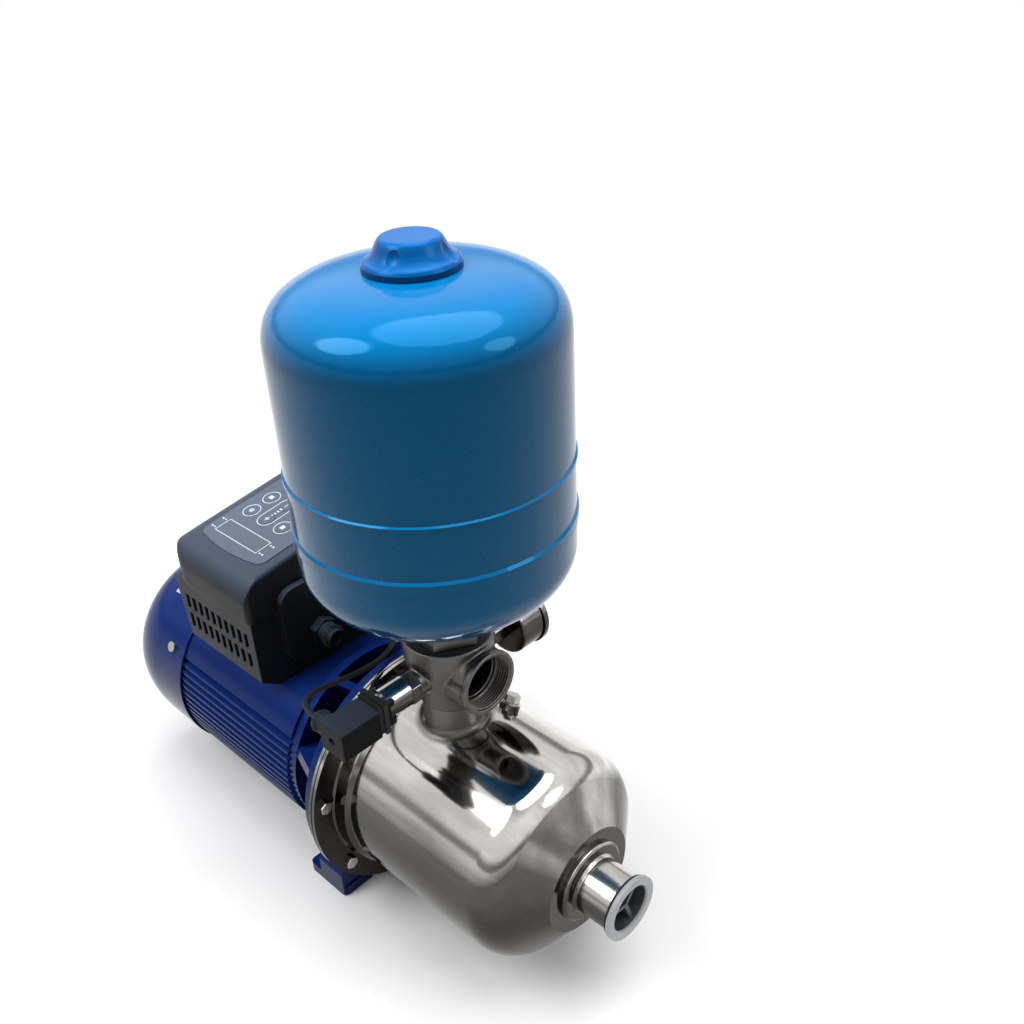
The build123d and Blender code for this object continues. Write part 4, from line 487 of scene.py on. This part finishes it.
# Finishes by node
def finishes(look):
    steel = tuple(look.steel)
    black = tuple(look.controller)
    navy_tint = (0.2, 0.42, 1.0)
    # low and high in the enamels give painted shade on sideways faces and a painted highlight on
    # top faces; low in the cap plastic gives painted shade on sideways faces
    table = {
        enamel("tank enamel", tuple(look.tank), tint=(0.12, 0.62, 1.0)): [
            "tank_lower_shell", "tank_upper_shell"],
        moulded("cap plastic", tuple(look.cap), rough=0.3, grain=0.0009, depth=0.00002,
                tint=(0.1, 0.5, 1.0), shine=0.55, low=0.28): ["tank_cap"],
        enamel("motor enamel", tuple(look.motor), tint=navy_tint, peel=0.003, rough=0.12,
               shine=0.5, low=0.4, high=1.4, gloss=1.28): [
            "motor_frame", "motor_bracket", "foot", "rear_end_shield"],
        enamel("cover enamel", tuple(look.motor), tint=navy_tint, peel=0.003, rough=0.12,
               shine=0.5, low=0.5, high=1.4, gloss=1.28, label=True): ["fan_cover"],
        moulded("black housing plastic", black, rough=0.45, dust_and_sky_sheen=0.55, gloss=1.22): [
            "controller_base", "controller_lid"],
        moulded("black connector plastic", scaled(black, 0.7), rough=0.45, grain=0.0005, dust_and_sky_sheen=0.25,
                gloss=1.14): [
            "connector_housing", "connector_gland", "controller_glands"],
        printed("keypad film", tuple(look.keypad), ink=(0.62, 0.68, 0.76)): [
            "keypad_overlay", "key_run", "key_mode", "key_stop", "key_set", "key_plus",
            "key_minus"],
        polished("mirror steel", steel, "X", neck=True): ["pump_casing"],
        polished("turned steel", scaled(steel, 0.95), "X", rough=0.13, pitch=0.0004): [
            "inlet_socket", "seal_cover", "shaft", "shaft_bearings"],
        cast("cast steel", scaled(steel, 0.32), rough=0.36): ["five_way_fitting", "tank_adaptor"],
        polished("sensor steel", scaled(steel, 0.9), "Z", rough=0.14, centre=(OUTLET_X, 0, 0)): [
            "transmitter_body", "gauge_case", "gauge_bezel"],
        cast("pressed steel", scaled(steel, 0.9), rough=0.3): [
            "stage_chambers", "impellers", "discharge_ring", "suction_ring", "shaft_spacers",
            "impeller_nut"],
        plated("plated steel", (0.48, 0.47, 0.45)): [
            "fan_cover_screws", "motor_screws", "foot_screws", "casing_bolts", "casing_plugs"],
        cast("brass", (0.60, 0.42, 0.16), rough=0.24, grain=0.0015): ["air_valve"],
        polished("nickel", scaled(steel, 0.85), "Z", rough=0.2, pitch=0.0008,
                 centre=(OUTLET_X, 0, 0)): ["gauge_stem"],
        rubber("black rubber", (0.007, 0.007, 0.008)): [
            "casing_gasket", "inlet_seal", "connector_seal", "tank_diaphragm", "signal_cable",
            "seal_rotor"],
        plug_plastic("white plastic", (0.28, 0.29, 0.30), cup_painted_shade=(0.035, 0.038, 0.042)): [
            "inlet_plug"],
        dial_paint("dial paint", (0.80, 0.80, 0.78), ink=(0.02, 0.02, 0.02)): ["gauge_dial"],
        moulded("pointer paint", (0.012, 0.012, 0.012), rough=0.4): ["gauge_pointer"],
        moulded("fan plastic", (0.03, 0.03, 0.032), rough=0.45): ["cooling_fan"],
        laminated("steel laminations", (0.30, 0.30, 0.31)): ["stator_core", "rotor_core"],
        wound("copper windings", (0.55, 0.20, 0.06)): ["stator_windings"],
        cast("aluminium", (0.62, 0.63, 0.64), grain=0.0008): ["heat_sink"],
        moulded("board lacquer", (0.012, 0.075, 0.03), rough=0.3, grain=0.002): ["circuit_boards"],
        moulded("ceramic", (0.45, 0.44, 0.41), rough=0.3): ["seal_seat"],
    }
    glass = Finish("gauge glass")
    smear = glass.noise(0.01, 3)
    table[glass.surface(Base_Color=(0.96, 0.98, 0.98), Roughness=smear * 0.06 + 0.02, IOR=1.45,
                        Transmission_Weight=1.0)] = ["gauge_window"]
    return {node: material for material, nodes in table.items() for node in nodes}


# Modelling by hand
def only(*objects):
    bpy.ops.object.select_all(action="DESELECT")
    for one in objects:
        one.select_set(True)
    bpy.context.view_layer.objects.active = objects[-1]


class edit:
    """Edit mode on one object, with everything in it selected at the start."""

    def __init__(self, piece):
        self.piece = piece

    def __enter__(self):
        only(self.piece)
        bpy.ops.object.mode_set(mode="EDIT")
        bpy.ops.mesh.select_all(action="SELECT")

    def __exit__(self, *error):
        bpy.ops.object.mode_set(mode="OBJECT")


def settle(piece):
    """Put the object's place into its mesh."""
    only(piece)
    bpy.ops.object.transform_apply(location=True, rotation=True, scale=True)


def copy_of(node, name):
    """A merged copy of a CAD node's mesh, free to be worked on."""
    only(frame["nodes"][node])
    bpy.ops.object.duplicate()
    piece = bpy.context.active_object
    piece.name = piece.data.name = name
    bpy.ops.object.parent_clear(type="CLEAR")
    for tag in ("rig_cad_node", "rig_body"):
        del piece[tag]
    bpy.ops.mesh.customdata_custom_splitnormals_clear()
    with edit(piece):
        bpy.ops.mesh.remove_doubles(threshold=0.000002)
        bpy.ops.mesh.dissolve_limited(angle_limit=math.radians(0.4))
    return piece


def finish_with(piece, kind, **settings):
    """Add a modifier and apply it."""
    only(piece)
    step = piece.modifiers.new(kind.lower(), kind)
    for name, value in settings.items():
        setattr(step, name, value)
    bpy.ops.object.modifier_apply(modifier=step.name)


def smooth(piece, angle=35):
    only(piece)
    bpy.ops.object.shade_smooth_by_angle(angle=math.radians(angle))


def hand_over(piece, node, replaces=False):
    """Give a piece the finish, slot and body of a CAD node."""
    cad = frame["nodes"][node]
    if not piece.data.materials:
        piece.data.materials.append(cad.material_slots[0].material)
    if replaces:
        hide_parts(node)
    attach(piece, cad["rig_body"])


def joined(pieces, name):
    only(*pieces)
    bpy.ops.object.join()
    piece = bpy.context.active_object
    piece.name = piece.data.name = name
    return piece


# Finishes
class PUMP_OT_finishes(bpy.types.Operator):
    """Give every node its finish"""
    bl_idname = "pump.finishes"
    bl_label = "Finishes"

    def execute(self, context):
        chosen = finishes(context.scene.pump_colours)
        for name, node in frame["nodes"].items():
            for one in node.material_slots:
                one.material = chosen[name]
            if not node.material_slots:
                raise RuntimeError(f"{name} has no material slot")
        return {"FINISHED"}


# Rounded edges
class PUMP_OT_edges(bpy.types.Operator):
    """Round the sharp edges of castings, fins, mouldings, screws and turned parts"""
    bl_idname = "pump.edges"
    bl_label = "Rounded edges"

    def execute(self, context):
        edge = context.scene.pump_sizes.edge
        shares = {
            "motor_frame": 0.7, "motor_bracket": 1.6, "foot": 2.0, "rear_end_shield": 1.0,
            "controller_base": 0.7, "casing_bolts": 0.9, "casing_plugs": 0.8,
            "fan_cover_screws": 0.5, "motor_screws": 0.7, "foot_screws": 0.7, "tank_adaptor": 1.6,
            "transmitter_body": 0.7, "connector_housing": 0.8, "gauge_stem": 0.6,
            "inlet_socket": 0.6, "gauge_bezel": 0.6, "gauge_case": 1.6, "seal_cover": 0.8,
        }
        tight = ("foot", "motor_bracket")
        for node, share in shares.items():
            piece = copy_of(node, node + "_rounded")
            finish_with(piece, "BEVEL", width=edge * share, segments=2, limit_method="ANGLE",
                        angle_limit=math.radians(38), use_clamp_overlap=node in tight)
            smooth(piece, 40)
            finish_with(piece, "WEIGHTED_NORMAL", keep_sharp=True)
            hand_over(piece, node, replaces=True)
        return {"FINISHED"}


# Controller lid
class PUMP_OT_lid(bpy.types.Operator):
    """Soften the lid's shoulders and corners above its seam"""
    bl_idname = "pump.lid"
    bl_label = "Controller lid"

    def execute(self, context):
        piece = copy_of("controller_lid", "controller_lid_moulding")
        finish_with(piece, "REMESH", mode="VOXEL", voxel_size=0.0011)
        shoulder = piece.vertex_groups.new(name="shoulder")
        low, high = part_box("controller_lid")
        mid_x, half_x = (low.x + high.x) / 2, (high.x - low.x) / 2
        half_y = (high.y - low.y) / 2
        seam, blend = 0.004, 0.012
        for vertex in piece.data.vertices:
            place = vertex.co
            rise = min(1.0, max(0.0, (place.z - low.z - seam) / blend))
            rear = min(1.0, max(0.0, (mid_x + 0.25 * half_x - place.x) / half_x))
            side = min(1.0, max(0.0, (abs(place.y) - 0.45 * half_y) / (0.4 * half_y)))
            shoulder.add([vertex.index], rise * rear * side, "REPLACE")
        finish_with(piece, "SMOOTH", factor=0.6, iterations=90, vertex_group="shoulder")
        finish_with(piece, "SMOOTH", factor=0.5, iterations=2)
        smooth(piece, 50)
        hand_over(piece, "controller_lid", replaces=True)
        return {"FINISHED"}


# Transport plug
class PUMP_OT_plug(bpy.types.Operator):
    """Thin the wall of the transport plug's cup and round its mouth"""
    bl_idname = "pump.plug"
    bl_label = "Transport plug"

    def execute(self, context):
        piece = copy_of("inlet_plug", "inlet_plug_moulding")
        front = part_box("inlet_plug")[1].x
        # The cup's inner wall moves out, then its mouth is rounded
        wider = 1.148
        self.pick(piece, inner=0.0150, outer=0.0167, start=0.0)
        bpy.ops.transform.resize(value=(1, wider, wider), center_override=(0, 0, SHAFT_Z))
        bpy.ops.object.mode_set(mode="OBJECT")
        self.pick(piece, inner=0.0180, outer=CUP_R, start=front - 0.0003)
        bpy.ops.mesh.bevel(offset=0.0018, segments=4)
        bpy.ops.object.mode_set(mode="OBJECT")
        finish_with(piece, "BEVEL", width=0.0004, segments=2, limit_method="ANGLE",
                    angle_limit=math.radians(50), use_clamp_overlap=True)
        smooth(piece, 40)
        hand_over(piece, "inlet_plug", replaces=True)
        return {"FINISHED"}

    def pick(self, piece, inner, outer, start):
        """Enter edit mode with the points between two radii and beyond start selected."""
        with edit(piece):
            bpy.ops.mesh.select_all(action="DESELECT")
        for vertex in piece.data.vertices:
            reach = math.hypot(vertex.co.y, vertex.co.z - SHAFT_Z)
            vertex.select = inner < reach < outer and vertex.co.x > start
        bpy.ops.object.mode_set(mode="EDIT")


# Outlet fitting
class PUMP_OT_fitting(bpy.types.Operator):
    """Blend the cast outlet fitting's ways into each other and cut its thread"""
    bl_idname = "pump.fitting"
    bl_label = "Outlet fitting"

    def execute(self, context):
        piece = copy_of("five_way_fitting", "five_way_casting")
        finish_with(piece, "REMESH", mode="VOXEL", voxel_size=0.0008)
        finish_with(piece, "SMOOTH", factor=0.5, iterations=14)
        smooth(piece, 60)
        hand_over(piece, "five_way_fitting", replaces=True)
        self.thread(context.scene.pump_sizes.thread_pitch)
        return {"FINISHED"}

    def thread(self, pitch):
        """A triangle wound round the bore, sunk a little into its wall."""
        turns, run_in, sunk = 6, 0.0012, 0.0002
        start = PORT_END - run_in - turns * pitch
        place = (start, 0, PORT_Z + PORT_BORE - sunk)
        bpy.ops.mesh.primitive_circle_add(vertices=3, radius=0.001, fill_type="NOTHING",
                                          location=place, rotation=(-math.pi / 2, 0, 0))
        crest = bpy.context.active_object
        crest.name = crest.data.name = "outlet_thread"
        bpy.context.scene.cursor.location = (start, 0, PORT_Z)
        only(crest)
        bpy.ops.object.transform_apply(location=False, rotation=True, scale=True)
        bpy.ops.object.origin_set(type="ORIGIN_CURSOR")
        finish_with(crest, "SCREW", axis="X", angle=2 * math.pi, screw_offset=pitch,
                    iterations=turns, steps=72, render_steps=72, use_merge_vertices=False)
        settle(crest)
        with edit(crest):
            bpy.ops.mesh.remove_doubles(threshold=0.000002)
            bpy.ops.mesh.fill_holes(sides=4)
            bpy.ops.mesh.normals_make_consistent(inside=False)
        smooth(crest, 40)
        hand_over(crest, "five_way_fitting")


# Cable glands
class PUMP_OT_glands(bpy.types.Operator):
    """Grip ribs on the nuts of the cable glands"""
    bl_idname = "pump.glands"
    bl_label = "Gland ribs"

    def execute(self, context):
        for name, y in (("controller_gland_ribs", -ENTRY_Y), ("mains_gland_ribs", ENTRY_Y)):
            self.ribs(name, "controller_glands", (ENTRY_X, y, ENTRY_Z),
                      near=0.0098, far=0.0081, reach=0.010, count=18)
        low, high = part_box("connector_gland")
        centre = (low + high) / 2
        self.ribs("connector_gland_ribs", "connector_gland", (low.x + 0.002, centre.y, centre.z),
                  near=0.0073, far=0.0085, reach=0.0105, count=16)
        return {"FINISHED"}

    def ribs(self, name, node, start, near, far, reach, count):
        """Thin bars laid along a tapered nut, near and far being its radii at the two ends."""
        x, y, z = start
        middle = (x + reach / 2, 0, (near + far) / 2)
        width, height = 0.0009, 0.0012
        bars = []
        for i in range(count):
            turn = 2 * math.pi * i / count
            bpy.ops.mesh.primitive_cube_add(size=1.0, location=middle,
                                            scale=(reach, width, height))
            bar = bpy.context.active_object
            settle(bar)
            with edit(bar):
                bpy.ops.transform.rotate(value=-math.atan2(far - near, reach), orient_axis="Y",
                                         center_override=middle)
                bpy.ops.mesh.bevel(offset=0.0003, segments=2)
                bpy.ops.transform.rotate(value=turn, orient_axis="X", center_override=(x, 0, 0))
                bpy.ops.transform.translate(value=(0, y, z))
            bars.append(bar)
        piece = joined(bars, name)
        smooth(piece)
        hand_over(piece, node)


# Transmitter's plug
class PUMP_OT_connector(bpy.types.Operator):
    """Socket block behind the plug's gasket, and the grip ribs on the plug"""
    bl_idname = "pump.connector"
    bl_label = "Connector"

    def execute(self, context):
        low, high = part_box("connector_seal")
        centre = (low + high) / 2
        width, depth = 0.0235, 0.0085
        place = (centre.x, high.y + depth / 2, centre.z)
        bpy.ops.mesh.primitive_cube_add(size=1.0, location=place, scale=(width, depth, width))
        block = bpy.context.active_object
        block.name = block.data.name = "connector_socket"
        settle(block)
        with edit(block):
            bpy.ops.mesh.bevel(offset=0.0022, segments=3)
        smooth(block, 40)
        hand_over(block, "connector_housing")
        self.ribs()
        return {"FINISHED"}

    def ribs(self):
        """Seven bars across the top of the plug, sunk a little into it."""
        low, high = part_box("connector_housing")
        first, pitch, sunk = 0.006, 0.0026, 0.0001
        size = (0.0215, 0.0011, 0.0007)
        ribs = []
        for i in range(7):
            place = ((low.x + high.x) / 2, low.y + first + pitch * i, high.z - sunk)
            bpy.ops.mesh.primitive_cube_add(size=1.0, location=place, scale=size)
            rib = bpy.context.active_object
            settle(rib)
            with edit(rib):
                bpy.ops.mesh.bevel(offset=0.00025, segments=2)
            ribs.append(rib)
        piece = joined(ribs, "connector_grip_ribs")
        smooth(piece, 40)
        hand_over(piece, "connector_housing")


# Gauge figures
class PUMP_OT_figures(bpy.types.Operator):
    """Printed figures of the gauge, from 0 to 10"""
    bl_idname = "pump.figures"
    bl_label = "Gauge figures"

    def execute(self, context):
        face_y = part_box("gauge_dial")[1].y + 0.00005
        figures = []
        for i in range(6):
            turn = DIAL_START + DIAL_SWEEP * i / 5
            bpy.ops.object.text_add(location=(0, 0, 0))
            figure = bpy.context.active_object
            figure.data.body = str(2 * i)
            figure.data.size = 0.0042
            figure.data.align_x = "CENTER"
            figure.data.align_y = "CENTER"
            figure.data.extrude = 0.00004
            only(figure)
            bpy.ops.object.convert(target="MESH")
            figure = bpy.context.active_object
            figure.rotation_euler = (math.pi / 2, 0, math.pi)
            figure.location = (OUTLET_X - DIAL_FIGURE_R * math.sin(turn), face_y,
                               PORT_Z + DIAL_FIGURE_R * math.cos(turn))
            settle(figure)
            figures.append(figure)
        piece = joined(figures, "gauge_figures")
        piece.data.materials.append(frame["nodes"]["gauge_pointer"].material_slots[0].material)
        hand_over(piece, "gauge_dial")
        return {"FINISHED"}


# Cable
class PUMP_OT_cable(bpy.types.Operator):
    """Draw the transmitter's cable from its gland to the controller"""
    bl_idname = "pump.cable"
    bl_label = "Cable"

    def execute(self, context):
        points = SIGNAL_CABLE
        thick = context.scene.pump_sizes.cable
        line = bpy.data.curves.new("transmitter_cable", "CURVE")
        line.dimensions = "3D"
        spline = line.splines.new("NURBS")
        spline.points.add(len(points) - 1)
        for point, place in zip(spline.points, points):
            point.co = (*place, 1.0)
        spline.order_u = 3
        spline.use_endpoint_u = True
        line.bevel_depth = thick / 2
        line.bevel_resolution = 6
        line.resolution_u = 24
        line.use_fill_caps = True
        cable = bpy.data.objects.new("transmitter_cable", line)
        context.scene.collection.objects.link(cable)
        line.materials.append(frame["nodes"]["signal_cable"].material_slots[0].material)
        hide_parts("signal_cable")
        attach(cable, "pump")
        return {"FINISHED"}


# Stage
class PUMP_OT_stage(bpy.types.Operator):
    """Add the floor, the soft studio light and the camera"""
    bl_idname = "pump.stage"
    bl_label = "Stage"

    def execute(self, context):
        scene = context.scene
        scene.view_settings.view_transform = "Standard"
        bpy.ops.mesh.primitive_plane_add(size=FLOOR_SIZE, location=(0, 0, -FLOOR_DROP))
        floor = context.active_object
        floor.name = "studio_floor"
        settle(floor)
        floor.data.materials.append(self.paper())
        self.sky(scene)
        for name, place, target, size, power in LAMPS:
            self.lamp(name, Vector(place), Vector(target), size, power)
        self.camera(scene)
        return {"FINISHED"}

    def paper(self):
        """Pale floor round the pump that runs out into the plain white backdrop."""
        f = Finish("studio floor")
        tone = f.noise(0.4, 2)
        f.surface(Base_Color=f.mix(tone, (0.82, 0.82, 0.82), (0.85, 0.85, 0.85)), Roughness=0.8)
        x, y, z = f.parts()
        away = ((x * x + y * y).root() - PAPER_R) / PAPER_FADE
        seen = f.node("LightPath", output="Is Camera Ray").above(
            f.node("LightPath", output="Is Glossy Ray")).above(
            f.node("LightPath", output="Is Transmission Ray"))
        white = f.tree.nodes.new("ShaderNodeEmission")
        blend = f.tree.nodes.new("ShaderNodeMixShader")
        f.feed(blend.inputs[0], away.above(0.0).below(1.0) * seen)
        f.tree.links.new(f.shader.outputs[0], blend.inputs[1])
        f.tree.links.new(white.outputs[0], blend.inputs[2])
        f.tree.links.new(blend.outputs[0], f.tree.nodes["Material Output"].inputs[0])
        return f.material

    def sky(self, scene):
        """White to the camera, and for metal a white horizon, a dim band and a bright ceiling."""
        scene.world = bpy.data.worlds.new("studio sky")
        scene.world.use_nodes = True
        tree = scene.world.node_tree
        nodes, links = tree.nodes, tree.links
        background = nodes["Background"]
        path = nodes.new("ShaderNodeLightPath")
        seen = nodes.new("ShaderNodeMath")
        seen.operation = "MAXIMUM"
        links.new(path.outputs["Is Camera Ray"], seen.inputs[0])
        links.new(path.outputs["Is Transmission Ray"], seen.inputs[1])
        way = nodes.new("ShaderNodeTexCoord")
        split = nodes.new("ShaderNodeSeparateXYZ")
        links.new(way.outputs["Generated"], split.inputs[0])
        glossy = nodes.new("ShaderNodeMix")
        glossy.data_type = "RGBA"
        links.new(path.outputs["Is Glossy Ray"], glossy.inputs[0])
        links.new(self.ramp(nodes, split, DIFFUSE_SKY), glossy.inputs[6])
        links.new(self.ramp(nodes, split, MIRRORED_SKY), glossy.inputs[7])
        white = nodes.new("ShaderNodeMix")
        white.data_type = "RGBA"
        links.new(seen.outputs[0], white.inputs[0])
        links.new(glossy.outputs[2], white.inputs[6])
        white.inputs[7].default_value = (1, 1, 1, 1)
        links.new(white.outputs[2], background.inputs["Color"])
        background.inputs["Strength"].default_value = 1.0

    def ramp(self, nodes, split, stops):
        """Grey levels by height above the horizon."""
        made = nodes.new("ShaderNodeValToRGB")
        split.id_data.links.new(split.outputs["Z"], made.inputs[0])
        first, last = made.color_ramp.elements
        first.position, last.position = stops[0][0], stops[-1][0]
        first.color, last.color = (stops[0][1],) * 3 + (1,), (stops[-1][1],) * 3 + (1,)
        for at, level in stops[1:-1]:
            made.color_ramp.elements.new(at).color = (level,) * 3 + (1,)
        return made.outputs[0]

    def lamp(self, name, place, target, size, power):
        bpy.ops.object.light_add(type="AREA", location=place)
        lamp = bpy.context.active_object
        lamp.name = name
        lamp.data.shape = "DISK"
        lamp.data.size = size
        lamp.data.energy = power
        lamp.rotation_mode = "QUATERNION"
        lamp.rotation_quaternion = (place - target).to_track_quat("Z", "Y")

    def camera(self, scene):
        turn, tilt, roll = (math.radians(v) for v in (CAMERA_TURN, CAMERA_TILT, CAMERA_ROLL))
        level = math.cos(tilt)
        back = Vector((math.sin(turn) * level, -math.cos(turn) * level, math.sin(tilt)))
        right = Vector((math.cos(turn), math.sin(turn), 0))
        up = back.cross(right)
        across = math.cos(roll) * right + math.sin(roll) * up
        upright = math.cos(roll) * up - math.sin(roll) * right
        bpy.ops.object.camera_add()
        camera = bpy.context.active_object
        camera.data.lens = CAMERA_LENS
        camera.data.sensor_width = CAMERA_SENSOR
        camera.data.clip_start = 0.01
        turned_to = Matrix((across, upright, back)).transposed().to_4x4()
        camera.matrix_world = Matrix.Translation(CAMERA_PLACE) @ turned_to
        scene.camera = camera


# Panel
class PUMP_PT_panel(bpy.types.Panel):
    """The pump's sizes, colours and pieces"""
    bl_idname = "PUMP_PT_panel"
    bl_label = "Booster pump"
    bl_space_type = "VIEW_3D"
    bl_region_type = "UI"
    bl_category = "Booster pump"

    def draw(self, context):
        for group in (context.scene.pump_sizes, context.scene.pump_colours):
            box = self.layout.box()
            for name in group.__annotations__:
                box.prop(group, name)
        for step in STEPS:
            self.layout.operator(step.bl_idname)


STEPS = (PUMP_OT_finishes, PUMP_OT_edges, PUMP_OT_lid, PUMP_OT_plug, PUMP_OT_fitting,
         PUMP_OT_glands, PUMP_OT_connector, PUMP_OT_figures, PUMP_OT_cable, PUMP_OT_stage)
CLASSES = (PumpSizes, PumpColours, *STEPS, PUMP_PT_panel)


def register():
    for one in CLASSES:
        bpy.utils.register_class(one)
    bpy.types.Scene.pump_sizes = bpy.props.PointerProperty(type=PumpSizes)
    bpy.types.Scene.pump_colours = bpy.props.PointerProperty(type=PumpColours)


def unregister():
    del bpy.types.Scene.pump_sizes
    del bpy.types.Scene.pump_colours
    for one in reversed(CLASSES):
        bpy.utils.unregister_class(one)


def main():
    register()
    for step in STEPS:
        family, action = step.bl_idname.split(".")
        getattr(getattr(bpy.ops, family), action)()


if __name__ == "__main__":
    main()
